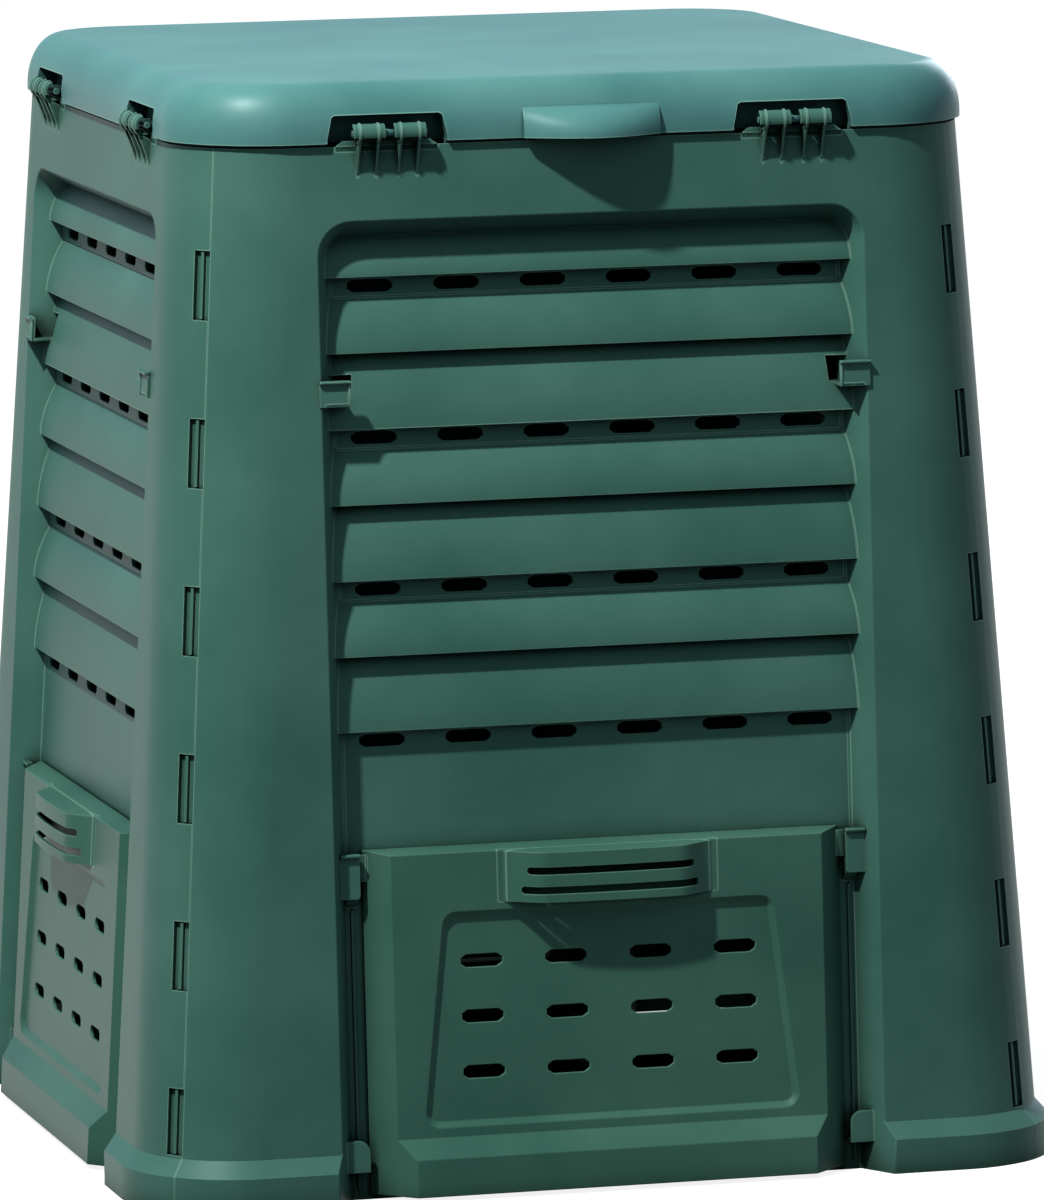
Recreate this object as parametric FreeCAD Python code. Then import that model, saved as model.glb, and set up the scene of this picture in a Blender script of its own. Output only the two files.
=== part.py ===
import FreeCAD, Part
import math
import os

# Garden compost bin: four equal wall panels, a hatch door hung in each, and a lift-up lid.
# Millimetres, +Z up, the origin on the ground under the middle of the bin, the front towards -Y.
# Each panel is modelled once as the front one and turned in quarter turns for the others.

V = FreeCAD.Vector
os.makedirs("parts", exist_ok=True)

# Main sizes of the bin
SKIRT_SIZE = 719.0        # across the base skirt
WALL_FOOT = 702.6         # across the walls, carried down to the ground
TAPER = 0.0615            # lean of each wall inwards, per mm of height
WALL_TOP = 780.0          # height of the walls
BIN_TOP = WALL_TOP + 46.0  # height of the closed lid's top
CORNER_R = 80.0           # rounding of the upright corners
SKIN = 3.0                # thickness of the moulded walls
SEAM = 0.3                # gap between two neighbouring panels
REST = 0.3                # gap where a loose piece rests

# Base skirt
SKIRT_TOP = 38.0          # where the sloping band starts
RIM_TOP = 26.0            # where the upright rim starts

# Recess in the front of each wall
RECESS_HALF = 209.0       # half width at the wall's face
TOP_BAND = 55.0           # plain band above the recess
RECESS_TOP = WALL_TOP - TOP_BAND
RECESS_DEEP = 22.5
RECESS_DRAFT = 13.0       # how far its sides lean in over the full depth
RECESS_R = 26.0           # rounding of its two upper corners

# Louvres, counted from the top, with air slots under every other one
SLATS = 7
LIP_FIRST = RECESS_TOP - 42.5  # height of the first slat's lower lip
SLAT_PITCH = 55.9
SLAT_PROUD = 8.0          # how far the lip stands off the recess floor
SLAT_SWELL = 2.6          # extra bulge half-way up a slat
STRIP = 14.6              # height of the flat strip that holds the air slots
SLOTS = 6
SLOT_MARGIN = 13.75       # from the recess side to the first slot
SLOT_LONG = 34.5
SLOT_HIGH = 9.3
SLOT_DROP = 7.0           # from a lip down to the middle of its slots

# Corner joints: windows in the right edge of a panel, tabs on the left edge of the next
WINDOWS = 6
WINDOW_FIRST = WALL_TOP - 75.1  # top of the highest window
WINDOW_HIGH = 51.0
WINDOW_LOW = SKIRT_TOP + 0.4    # bottom of the lowest window
WINDOW_PITCH = (WINDOW_FIRST - WINDOW_HIGH - WINDOW_LOW) / (WINDOWS - 1)
WINDOW_WIDE = 14.0
FLANGE_WIDE = 18.0        # how far a panel's flange reaches behind its neighbour
FLANGE_T = 2.5
HIDDEN_FLATS = 4          # flats to a quarter turn on what the outside doesn't show
TAB_WIDE = 5.0

# Hatch door
DOOR_TOP = 257.0
DOOR_FOOT = 4.0
DOOR_GAP = 25.0           # from the recess side at the wall's face to the door's back edge
DOOR_HALF = RECESS_HALF - DOOR_GAP
DOOR_CHAMFER = 18.0       # how much narrower the door is at its face
DOOR_FACE_HALF = DOOR_HALF - DOOR_CHAMFER
DOOR_BACK = -19.6         # depth of its back edge behind the wall's face
DOOR_FACE = -3.0
DOOR_SKIN = 2.8
DOOR_BEND = 46.0          # where the face turns out to the foot
DOOR_BEND_LOW = 32.0
DOOR_FOOT_OUT = 8.0
FIELD_TOP = DOOR_TOP - 44.0
FIELD_LOW = DOOR_BEND + 7.0
FIELD_HALF_TOP = DOOR_FACE_HALF - 38.0
FIELD_HALF_LOW = DOOR_FACE_HALF - 22.0
FIELD_DEEP = 7.0
FIELD_R = 11.0
DOOR_ROWS = (175.5, 134.3, 93.0)
DOOR_SLOTS = 4
DOOR_SLOT_PITCH = 65.1
DOOR_SLOT_LONG = 32.0
DOOR_SLOT_HIGH = 9.6
HATCH_HALF = DOOR_HALF - 14.0  # doorway in the wall
HATCH_LOW = 34.0
HATCH_TOP = DOOR_TOP - 19.0

# Door handle: a curved hood over a finger space, with two long slots
GRIP_HALF = 79.0
GRIP_OUT = 20.0           # how far the hood stands off the face
GRIP_LOW = DOOR_TOP - 38.5
GRIP_SLOTS = (DOOR_TOP - 15.0, DOOR_TOP - 29.5)
GRIP_SLOT_HALF = 62.0
GRIP_SLOT_HIGH = 5.0
GRIP_BENDS = 5

# Door ears and the hooks that hold them
EAR_REACH = 10.5          # how far an ear stands out from the door's side
EAR_OUT = DOOR_HALF + EAR_REACH
EAR_LOW = DOOR_TOP - 21.0
EAR_T = 3.0
HOOK_FRONT = -11.2        # outer face of a lower hook
HOOK_T = 3.0
HOOK_LOW = EAR_LOW - 11.5
HOOK_TOP = DOOR_TOP + 1.0
HOOK_IN = DOOR_HALF + 2.0
PARK_LOW = 589.5          # the upper hooks, where a lifted door can be hung
PARK_TOP = 609.5
PARK_IN = RECESS_HALF - 21.5
PARK_OUT = 2.0
GUIDE_LOW = 22.0
GUIDE_TOP = 46.0
RAIL_AT = DOOR_HALF + 7.7  # low rib beside the door
DOOR_LIFT = 320.0         # straight lift to just below the upper hooks

# Lid
LID_OVER = 3.7            # how far the lid stands out over the walls' top edge
LID_LOW = WALL_TOP + 2.5
LID_SKIN = 3.0
LID_EDGE_R = 27.0
LID_GRIP_HALF = 52.0
LID_GRIP_OUT = 12.0
LID_GRIP_TOP = LID_LOW + 23.5

# Lid clips: two pairs to a side, open at the top inner side
CLIP_AT = 155.0           # middle of a pair, from the middle of the side
CLIP_Z = WALL_TOP + 9.5
CLIP_OUT = 6.0            # clip centre in front of the wall's face
CLIP_R = 5.0
CLIP_T = 2.6
CLIP_BENDS = 4
CLIP_LONG = 24.0
CLIP_GAP = 7.0
RIB_T = 2.0
RIB_LOW = WALL_TOP - 24.0
PIN_R = 2.5
PIN_IN = 2.0              # rod centre inside the clip centre
POCKET_HALF = 44.0
POCKET_DEEP = 12.0
POCKET_TOP = LID_LOW + 20.5
HUMP_TOP = WALL_TOP + 7.3

# Derived sizes
LEAN = math.atan(TAPER)
SIN, COS = math.sin(LEAN), math.cos(LEAN)
FOOT_HALF = WALL_FOOT / 2.0
SKIRT_HALF = SKIRT_SIZE / 2.0
FAR = SKIRT_SIZE * 2.0
LID_HALF = FOOT_HALF - TAPER * WALL_TOP + LID_OVER
FLOOR_HALF = RECESS_HALF - RECESS_DRAFT
SLOT_PITCH = (2 * FLOOR_HALF - 2 * SLOT_MARGIN - SLOT_LONG) / (SLOTS - 1)


def half(z):
    """Half width of the bin's walls at height z."""
    return FOOT_HALF - TAPER * z


def up(z, n=0.0):
    """Distance along the leaning wall to a point at height z and depth n."""
    return (z - n * SIN) / COS


# The leaning wall's own frame: x along the wall, y up the slope, z straight out of its face
WALL = FreeCAD.Placement(V(0, -FOOT_HALF, 0), FreeCAD.Rotation(V(1, 0, 0), 90.0 - math.degrees(LEAN)))


def on_wall(shape):
    """Place a shape that is drawn in the wall's own frame."""
    out = shape.copy()
    out.Placement = WALL.multiply(out.Placement)
    return out


def outline(points, radii):
    """Closed wire through points, each corner rounded by its radius."""
    edges, ends = [], []
    count = len(points)
    for i in range(count):
        p, a, b = points[i], points[i - 1], points[(i + 1) % count]
        r = radii[i]
        if r <= 0:
            ends.append((p, None, p))
            continue
        u, w = (a - p).normalize(), (b - p).normalize()
        turn = u.getAngle(w)
        reach = r / math.tan(turn / 2.0)
        mid = (u + w).normalize()
        bow = p + mid * (r / math.sin(turn / 2.0) - r)
        ends.append((p + u * reach, bow, p + w * reach))
    for i in range(count):
        start, bow, stop = ends[i]
        if bow is not None:
            edges.append(Part.Arc(start, bow, stop).toShape())
        after = ends[(i + 1) % count][0]
        if (after - stop).Length > 1e-6:
            edges.append(Part.LineSegment(stop, after).toShape())
    return Part.Wire(edges)


def prism(wire, way):
    return Part.Face(wire).extrude(way)


def facet_corners(h, r, z, steps=4):
    """Points of a square with its corners in a few flats, for what the outside doesn't show."""
    pts = []
    for turn, (cx, cy) in enumerate(((-1, -1), (1, -1), (1, 1), (-1, 1))):
        for k in range(steps + 1):
            a = math.radians(180.0 + 90.0 * turn + 90.0 * k / steps)
            pts.append(V(cx * (h - r) + r * math.cos(a), cy * (h - r) + r * math.sin(a), z))
    return pts


def facet_square(h, r, low, high, steps=4):
    return poly(facet_corners(h, r, low, steps), V(0, 0, high - low))


def between(first, second, radii):
    """Flat-sided solid between two matching polygons, with its long corners rounded by radii."""
    count = len(first)
    rings = [list(reversed(first)), second]
    rings += [[first[i], first[(i + 1) % count], second[(i + 1) % count], second[i]] for i in range(count)]
    faces = [Part.Face(Part.makePolygon(ring + [ring[0]])) for ring in rings]
    solid = Part.makeSolid(Part.makeShell(faces))
    if solid.Volume < 0:
        solid.reverse()
    for a, b, r in zip(first, second, radii):
        if r > 0:
            middle = (a + b) * 0.5
            edge = min(solid.Edges, key=lambda e: (e.CenterOfMass - middle).Length)
            solid = solid.makeFillet(r, [edge])
    return solid


def corners(h, z):
    return [V(-h, -h, z), V(h, -h, z), V(h, h, z), V(-h, h, z)]


def poly(points, way):
    return prism(Part.makePolygon(points + [points[0]]), way)


def stack(rings, steps):
    """Solid through squares of half width h and corner radius r at height z, corners in flats."""
    loops = [facet_corners(h, r, z, steps) for h, r, z in rings]
    flat = [0] * len(loops[0])
    return join([between(a, b, flat) for a, b in zip(loops, loops[1:])])


def join(shapes):
    out = shapes[0]
    if len(shapes) > 1:
        out = out.multiFuse(shapes[1:])
    return out


def tidy(shape):
    """Merge the split faces and keep the solids."""
    out = shape.removeSplitter()
    solids = out.Solids
    return solids[0] if len(solids) == 1 else Part.makeCompound(solids)


def hull(inset):
    """Solid inside of the four walls' outer surface, set in by inset, flat-sided where it is hidden."""
    low = -1.0 if inset else 0.0
    top = WALL_TOP + (1.0 if inset else 0.0)
    round_r = CORNER_R - inset
    if inset:
        core = stack([(half(low) - inset, round_r, low), (half(top) - inset, round_r, top)], HIDDEN_FLATS)
    else:
        core = between(corners(half(low), low), corners(half(top), top), [CORNER_R] * 4)
    # the skirt's sloping band runs on a little way into the wall
    slope = (SKIRT_HALF - half(SKIRT_TOP)) / (SKIRT_TOP - RIM_TOP)
    rise = SKIRT_TOP - RIM_TOP + 5.0
    h, r, z = SKIRT_HALF - inset, CORNER_R + SKIRT_HALF - half(RIM_TOP) - inset, RIM_TOP - inset * 0.4
    back = slope * rise
    skirt = stack([(h, r, low), (h, r, z), (h - back, r - back, z + rise)], HIDDEN_FLATS if inset else 6)
    return core.fuse(skirt)


def quarter():
    """Wedge that keeps the front quarter, half a seam clear of the corner planes."""
    back = SEAM / 2.0 * math.sqrt(2.0)
    pts = [V(0, -back, -10), V(-FAR, -back - FAR, -10), V(FAR, -back - FAR, -10)]
    return poly(pts, V(0, 0, BIN_TOP + 20))


def corner_slab(angle, near, far, low, high):
    """Block along the corner plane at angle, between near and far to its left."""
    box = Part.makeBox(FAR, far - near, high - low, V(half(0) * 0.6, near, low))
    box.rotate(V(0, 0, 0), V(0, 0, 1), angle)
    return box


def corner_tab(mid, low, high):
    """Upright block on the flange that shows in a window of the next panel."""
    rings = []
    for z in (low, high):
        rim = math.sqrt(2.0) * (half(z) - CORNER_R) + CORNER_R
        near, far = rim - SKIN - SEAM - 2.0, rim - 0.9
        a, b = mid - TAB_WIDE / 2.0, mid + TAB_WIDE / 2.0
        rings.append([V(near, a, z), V(far, a, z), V(far, b, z), V(near, b, z)])
    block = between(rings[0], rings[1], [0, 0, 0, 0])
    block.rotate(V(0, 0, 0), V(0, 0, 1), 225)
    return block


def recess(grow, n_front, n_back):
    """Solid that fills the recess between two depths, grown by grow, flat-sided where it is hidden."""
    rings = []
    r = RECESS_R + grow
    for n in (n_back, n_front):
        side = n * RECESS_DRAFT / RECESS_DEEP + grow
        w, top = RECESS_HALF + side, up(RECESS_TOP) + side
        ring = [V(-w, -TOP_BAND, n), V(w, -TOP_BAND, n)]
        if grow:
            turns = [math.pi / 2 * k / HIDDEN_FLATS for k in range(HIDDEN_FLATS + 1)]
            ring += [V(w - r + r * math.cos(a), top - r + r * math.sin(a), n) for a in turns]
            ring += [V(r - w - r * math.sin(a), top - r + r * math.cos(a), n) for a in turns]
        else:
            ring += [V(w, top, n), V(-w, top, n)]
        rings.append(ring)
    return between(rings[0], rings[1], [0] * len(rings[0]) if grow else [0, 0, r, r])


def slat_heights():
    """Top and lip of each slat."""
    tops, lips = [], []
    for i in range(SLATS):
        lip = LIP_FIRST - i * SLAT_PITCH
        if i == 0:
            top = RECESS_TOP - RECESS_DRAFT + 2.0
        elif i % 2 == 1:
            top = lips[-1] - STRIP
        else:
            top = lips[-1] - 0.6
        tops.append(top)
        lips.append(lip)
    return tops, lips


def louvre_panel():
    """The recess floor as one formed sheet: slats, strips and the plain part below."""
    floor = -RECESS_DEEP
    lip_n = floor + SLAT_PROUD
    tops, lips = slat_heights()
    edges = []

    def run(a, b):
        edges.append(Part.LineSegment(V(0, a[0], a[1]), V(0, b[0], b[1])).toShape())

    def bow(a, m, b):
        edges.append(Part.Arc(V(0, *a), V(0, *m), V(0, *b)).toShape())

    start = (up(RECESS_TOP + 20), floor)
    at = start
    for top, lip in zip(tops, lips):
        head = (up(top), floor)
        nose = (up(lip), lip_n)
        run(at, head)
        bow(head, (up((top + lip) / 2.0), (floor + lip_n) / 2.0 + SLAT_SWELL), nose)
        at = (up(lip) + 1.4, floor + 0.9)
        run(nose, at)
        tuck = (up(lip) - 0.3, floor)
        run(at, tuck)
        at = tuck
    low = (-40.0, floor)
    run(at, low)
    back = (-40.0, floor - SKIN)
    run(low, back)
    at = back
    for top, lip in reversed(list(zip(tops, lips))):
        foot = (up(lip) + 2.6, floor - SKIN)
        nose = (up(lip) + 3.4, lip_n - SKIN + 0.2)
        head = (up(top), floor - SKIN)
        run(at, foot)
        run(foot, nose)
        mid = (up((top + lip) / 2.0) + 1.7, (floor + lip_n) / 2.0 + SLAT_SWELL - SKIN + 0.1)
        run(nose, mid)
        run(mid, head)
        at = head
    stop = (start[0], floor - SKIN)
    run(at, stop)
    run(stop, start)
    sheet = prism(Part.Wire(edges), V(2 * RECESS_HALF, 0, 0))
    sheet.translate(V(-RECESS_HALF, 0, 0))
    return sheet.common(recess(1.5, 2.0, floor - SKIN - 0.5))


def slot_cutter(u, z, long, high, n_back, n_front, point):
    """Long slot with slanted ends."""
    v = up(z, (n_back + n_front) / 2.0)
    a, b, h = long / 2.0, long / 2.0 - point, high / 2.0
    pts = [V(u - a, v - h, n_back), V(u + b, v - h, n_back), V(u + a, v + h, n_back),
           V(u - b, v + h, n_back)]
    return poly(pts, V(0, 0, n_front - n_back))


def air_slots():
    lips = slat_heights()[1]
    floor = -RECESS_DEEP
    cutters = []
    for lip in lips[::2]:
        for i in range(SLOTS):
            u = (i - (SLOTS - 1) / 2.0) * SLOT_PITCH
            cutters.append(slot_cutter(u, lip - SLOT_DROP, SLOT_LONG, SLOT_HIGH,
                                       floor - SKIN - 2, floor + 3, 4.2))
    return cutters


def plate(u1, u2, z1, z2, n1, n2):
    """Block in the wall's frame between two heights."""
    v1, v2 = up(z1, (n1 + n2) / 2.0), up(z2, (n1 + n2) / 2.0)
    return Part.makeBox(u2 - u1, v2 - v1, n2 - n1, V(u1, v1, n1))


def mirror_pair(shape):
    return [shape, shape.mirror(V(0, 0, 0), V(1, 0, 0))]


def wall_at(n):
    """Half width inside the recess at depth n."""
    return RECESS_HALF + n * RECESS_DRAFT / RECESS_DEEP


def lower_hook():
    """Upright plate over a pocket for the door's ear, closed below by a wedge."""
    back = HOOK_FRONT - HOOK_T
    front = plate(HOOK_IN, wall_at(back) + 1.6, HOOK_LOW, HOOK_TOP, back, HOOK_FRONT)
    floor = -RECESS_DEEP - 1.0
    v1, v2 = up(HOOK_LOW, -17), up(EAR_LOW - REST, -17)
    pts = [V(HOOK_IN, v1, HOOK_FRONT - 0.5), V(HOOK_IN, v2, HOOK_FRONT - 0.5),
           V(HOOK_IN, v2, floor), V(HOOK_IN, v1 - 8, floor)]
    wedge = poly(pts, V(wall_at(floor) + 1.6 - HOOK_IN, 0, 0))
    return front.fuse(wedge)


def park_hook():
    """Bracket that stands off the louvres, open at the top and on its inner side."""
    front = plate(PARK_IN, RECESS_HALF + 2.2, PARK_LOW, PARK_TOP, PARK_OUT - 3.0, PARK_OUT)
    ledge = plate(PARK_IN, RECESS_HALF - 2.0, PARK_LOW, PARK_LOW + 2.6, -17.6, PARK_OUT)
    return front.fuse(ledge)


def guide_lug():
    """Lug with a cut corner beside the door's foot."""
    u1, u2, n = DOOR_HALF + 1.5, wall_at(-10.5) + 1.6, -12.0
    v1, v2 = up(GUIDE_LOW, n), up(GUIDE_TOP, n)
    pts = [V(u1, v1, n), V(u2, v1, n), V(u2, v2, n), V(u1 + 5.0, v2, n), V(u1, v2 - 7.0, n)]
    face = poly(pts, V(0, 0, 3.0))
    foot = plate(u1, u2 - 4.0, GUIDE_LOW, GUIDE_LOW + 3.0, -RECESS_DEEP - 1.0, n + 1.0)
    return face.fuse(foot)


def side_rail():
    return plate(RAIL_AT - 1.2, RAIL_AT + 1.2, 6.0, HOOK_LOW - 8.0, -RECESS_DEEP - 1.0, DOOR_BACK - 0.8)


def hatchway():
    n1, n2 = -RECESS_DEEP - SKIN - 2, -RECESS_DEEP + 2
    v1, v2, w, c = up(HATCH_LOW, n1), up(HATCH_TOP, n1), HATCH_HALF, 9.0
    pts = [V(-w + c, v1, n1), V(w - c, v1, n1), V(w, v1 + c, n1), V(w, v2 - c, n1),
           V(w - c, v2, n1), V(-w + c, v2, n1), V(-w, v2 - c, n1), V(-w, v1 + c, n1)]
    return poly(pts, V(0, 0, n2 - n1))


def clip_profile(x, width):
    """C-shaped clip seen from its side, bent in CLIP_BENDS flats and extruded along x."""
    y0, z0 = -(half(CLIP_Z) + CLIP_OUT), CLIP_Z
    top, low = 80.0, -90.0
    step = (top - low) / CLIP_BENDS

    def at(r, deg):
        # the flats, not the corners, keep the radius
        far = r if deg in (top, low) else r / math.cos(math.radians(step / 2.0))
        a = math.radians(deg)
        return V(x, y0 - far * math.cos(a), z0 + far * math.sin(a))

    turns = [low + step * i for i in range(CLIP_BENDS + 1)]
    root_y = -(half(CLIP_Z - 11.0) - 1.2)
    pts = [at(CLIP_R + CLIP_T, a) for a in turns] + [at(CLIP_R, a) for a in reversed(turns)]
    pts += [V(x, root_y, z0 - CLIP_R - 3.0), V(x, root_y, z0 - CLIP_R - CLIP_T - 3.6)]
    return poly(pts, V(width, 0, 0))


def clip_rib(x):
    """Thin gusset below a clip."""
    y0 = -(half(CLIP_Z) + CLIP_OUT)
    pts = [V(x, -(half(CLIP_Z) - 1.2), CLIP_Z - 7.0), V(x, y0 - 4.6, CLIP_Z - 7.0),
           V(x, -(half(RIB_LOW) - 1.0), RIB_LOW)]
    return poly(pts, V(RIB_T, 0, 0))


def clip_pair(middle):
    parts = []
    for side in (-1, 1):
        x = middle + side * (CLIP_GAP + CLIP_LONG) / 2.0 - CLIP_LONG / 2.0
        parts.append(clip_profile(x, CLIP_LONG))
        parts.append(clip_rib(x + 4.0))
        parts.append(clip_rib(x + CLIP_LONG - 4.0 - RIB_T))
    return join(parts)


def hump(middle):
    """Low rise of the wall's top edge behind a pair of clips."""
    v1, v2 = up(WALL_TOP - 4.0), up(HUMP_TOP)
    a, b = POCKET_HALF - 5.0, POCKET_HALF - 11.0
    pts = [V(middle - a, v1, -SKIN), V(middle + a, v1, -SKIN), V(middle + a, up(WALL_TOP), -SKIN),
           V(middle + b, v2, -SKIN), V(middle - b, v2, -SKIN), V(middle - a, up(WALL_TOP), -SKIN)]
    return poly(pts, V(0, 0, SKIN))


def front_wall():
    outside, inside = hull(0.0), hull(SKIN)
    wedge = quarter()
    shell = outside.cut(inside).common(wedge)

    # side walls of the recess
    floor = -RECESS_DEEP
    ring = on_wall(recess(SKIN, 14.0, floor - SKIN)).common(outside)
    body = shell.fuse(ring).cut(on_wall(recess(0.0, 16.0, floor - SKIN - 4.0)))
    sheet = louvre_panel().cut(Part.makeCompound(air_slots() + [hatchway()]))

    # corner flange and tabs on the left edge, at the corner plane of 225 degrees
    low, high = 8.0, WALL_TOP - 10.0
    gap = SEAM / math.cos(math.pi / 4.0 / HIDDEN_FLATS)  # the seam is kept between the flats
    reach = hull(SKIN + gap).cut(hull(SKIN + gap + FLANGE_T))
    root = hull(SKIN - 1.0).cut(hull(SKIN + gap + FLANGE_T))
    flange = reach.common(corner_slab(225, -FLANGE_WIDE, SEAM, low, high))
    anchor = root.common(corner_slab(225, SEAM / 2.0, 9.0, low, high))
    tabs, cuts = [], []
    for i in range(WINDOWS):
        top = WINDOW_FIRST - i * WINDOW_PITCH
        mid = -WINDOW_WIDE / 2.0
        tabs.append(corner_tab(mid, top - WINDOW_HIGH + 1.0, top - 1.0))
        cuts.append(corner_slab(315, -WINDOW_WIDE, 5.0, top - WINDOW_HIGH, top))
    body = body.cut(Part.makeCompound(cuts))

    # hooks, rails and lugs for the door
    extras = []
    for shape in (lower_hook(), park_hook(), guide_lug(), side_rail()):
        extras += mirror_pair(shape)
    extras += [hump(CLIP_AT), hump(-CLIP_AT)]
    extras = [on_wall(e) for e in [sheet] + extras]
    clips = [clip_pair(CLIP_AT), clip_pair(-CLIP_AT)]
    body = join([body, flange, anchor] + tabs + extras + clips)
    ground = Part.makeBox(FAR, FAR, 200, V(-FAR / 2, -FAR / 2, -200))
    return tidy(body.cut(ground))


def chamfer_prism(inset, low, high):
    """Plan of the door between its two slanted sides, set in by inset."""
    k = (DOOR_HALF - DOOR_FACE_HALF) / (DOOR_FACE - DOOR_BACK)
    w = DOOR_HALF - inset * math.sqrt(1.0 + k * k)
    n1, n2 = DOOR_BACK - 3.0, DOOR_FOOT_OUT + 6.0
    if inset == 0:
        n1 = DOOR_BACK
    w1, w2 = w - k * (n1 - DOOR_BACK), w - k * (n2 - DOOR_BACK)
    pts = [V(-w1, low, n1), V(w1, low, n1), V(w2, low, n2), V(-w2, low, n2)]
    return poly(pts, V(0, high - low, 0))


def door_block(inset):
    """The door seen from its side, set in by inset, between its slanted sides."""
    back = DOOR_BACK - (2.0 if inset else 0.0)
    foot = DOOR_FOOT - (2.0 if inset else 0.0)
    face, out = DOOR_FACE - inset, DOOR_FOOT_OUT - inset
    top = DOOR_TOP - inset
    pts = [(top + 3.0, back), (top, face), (DOOR_BEND + inset * 0.35, face),
           (DOOR_BEND_LOW + inset * 0.35, out), (foot, out), (foot, back)]
    side = [V(-DOOR_HALF - 5, up(z, n), n) for z, n in pts]
    block = poly(side, V(2 * DOOR_HALF + 10, 0, 0))
    return block.common(chamfer_prism(inset, -20, up(DOOR_TOP) + 20))


def field(grow, n_front, n_back, draft):
    """The door's sunk panel between two depths, its corners cut in two flats."""
    rings = []
    k = (FIELD_HALF_LOW - FIELD_HALF_TOP) / (up(FIELD_TOP) - up(FIELD_LOW))
    c = (FIELD_R + grow) * 0.6
    for n, d in ((n_back, draft), (n_front, 0.0)):
        g = grow - d
        v1, v2 = up(FIELD_LOW, n) - g, up(FIELD_TOP, n) + g
        side = g * math.sqrt(1.0 + k * k)
        w1, w2 = FIELD_HALF_LOW + side + k * g, FIELD_HALF_TOP + side - k * g
        rings.append([V(-w1 + c, v1, n), V(w1 - c, v1, n), V(w1 - k * c, v1 + c, n), V(w2 + k * c, v2 - c, n),
                      V(w2 - c, v2, n), V(-w2 + c, v2, n), V(-w2 - k * c, v2 - c, n), V(-w1 + k * c, v1 + c, n)])
    return between(rings[0], rings[1], [0] * 8)


def hood(inset, low, high):
    """The handle's bowed plan, in GRIP_BENDS flats, extruded up the door."""
    f = DOOR_FACE - 0.6
    w, rise = GRIP_HALF, GRIP_OUT - 8.0
    s, n = w - 15.0 - inset, DOOR_FACE + 8.0 - inset
    bow = []
    for i in range(GRIP_BENDS + 1):
        u = -1.0 + 2.0 * i / GRIP_BENDS
        bow.append(V(s * u, low, n + rise * (1.0 - u * u)))
    if inset == 0:
        skirt = [V(-w, low, f), V(-w + 9.0, low, f + 2.6)]
        far = [V(w - 9.0, low, f + 2.6), V(w, low, f)]
    else:
        skirt, far = [V(-s - 4, low, f)], [V(s + 4, low, f)]
    return poly(skirt + bow + far, V(0, high - low, 0))


def front_door():
    block = door_block(0.0).cut(door_block(DOOR_SKIN))
    deep = DOOR_FACE - FIELD_DEEP
    pan = field(DOOR_SKIN, DOOR_FACE - 0.8, deep - DOOR_SKIN, 1.5)
    block = block.fuse(pan).cut(field(0.0, DOOR_FACE + 1.0, deep, 2.0))
    slots = []
    for z in DOOR_ROWS:
        for i in range(DOOR_SLOTS):
            u = (i - (DOOR_SLOTS - 1) / 2.0) * DOOR_SLOT_PITCH
            slots.append(slot_cutter(u, z, DOOR_SLOT_LONG, DOOR_SLOT_HIGH,
                                     deep - DOOR_SKIN - 2, deep + 2, 4.2))
    block = block.cut(Part.makeCompound(slots))

    low, high = up(GRIP_LOW), up(DOOR_TOP - 1.0)
    grip = hood(0.0, low, high).cut(hood(DOOR_SKIN, low - 3.0, high - DOOR_SKIN))
    n0 = DOOR_FACE + 0.3
    fingers = []
    for z in GRIP_SLOTS:
        v = up(z, 8.0)
        fingers.append(Part.makeBox(2 * GRIP_SLOT_HALF, GRIP_SLOT_HIGH, 40,
                                    V(-GRIP_SLOT_HALF, v - GRIP_SLOT_HIGH / 2.0, n0)))
    grip = grip.cut(Part.makeCompound(fingers))
    ear = plate(DOOR_HALF - 4.5, EAR_OUT, EAR_LOW, DOOR_TOP - 0.5, DOOR_BACK + 0.1, DOOR_BACK + 0.1 + EAR_T)
    door = join([block, grip] + mirror_pair(ear))
    return tidy(on_wall(door))


def lid_form(inset, low, bands, steps):
    """The lid's form with its rolled top edge in sloping bands, set in by inset."""
    reach, top, r = LID_EDGE_R - inset, BIN_TOP - inset, CORNER_R + 4.0 - inset
    rings = [(LID_HALF - inset, r, low)]
    for i in range(bands + 1):
        a = math.pi / 2 * i / bands
        back = reach * (1.0 - math.cos(a))
        rings.append((LID_HALF - inset - back, r - back, top - reach * (1.0 - math.sin(a))))
    return stack(rings, steps).removeSplitter()


def pocket(grow, deep, low):
    """Hollow for a pair of clips in the lid's rolled edge, wider below."""
    a, b = POCKET_HALF + grow, POCKET_HALF - 6.0 + grow
    y_in = -(half(CLIP_Z) - deep)
    top = POCKET_TOP + grow
    shapes = []
    for mid in (-CLIP_AT, CLIP_AT):
        pts = [V(mid - a, y_in, low), V(mid + a, y_in, low), V(mid + a, y_in, LID_LOW + 4.0),
               V(mid + b, y_in, top), V(mid - b, y_in, top), V(mid - a, y_in, LID_LOW + 4.0)]
        shapes.append(poly(pts, V(0, -2.0 * LID_EDGE_R, 0)))
    return shapes


def grip_plan(inset, low):
    """Bowed plan of the finger grip in the lid's front edge."""
    w, y = LID_GRIP_HALF - inset * 1.6, -(LID_HALF - 12.0)
    out = -(LID_HALF + LID_GRIP_OUT - inset)
    edge = -(LID_HALF - 1.0 - inset)
    edges = [Part.LineSegment(V(-w, y, low), V(w, y, low)).toShape(),
             Part.LineSegment(V(w, y, low), V(w, edge, low)).toShape(),
             Part.Arc(V(w, edge, low), V(0, out, low), V(-w, edge, low)).toShape(),
             Part.LineSegment(V(-w, edge, low), V(-w, y, low)).toShape()]
    return Part.Wire(edges)


def turned(shape, turns):
    out = shape.copy()
    out.rotate(V(0, 0, 0), V(0, 0, 1), 90.0 * turns)
    return out


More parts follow.
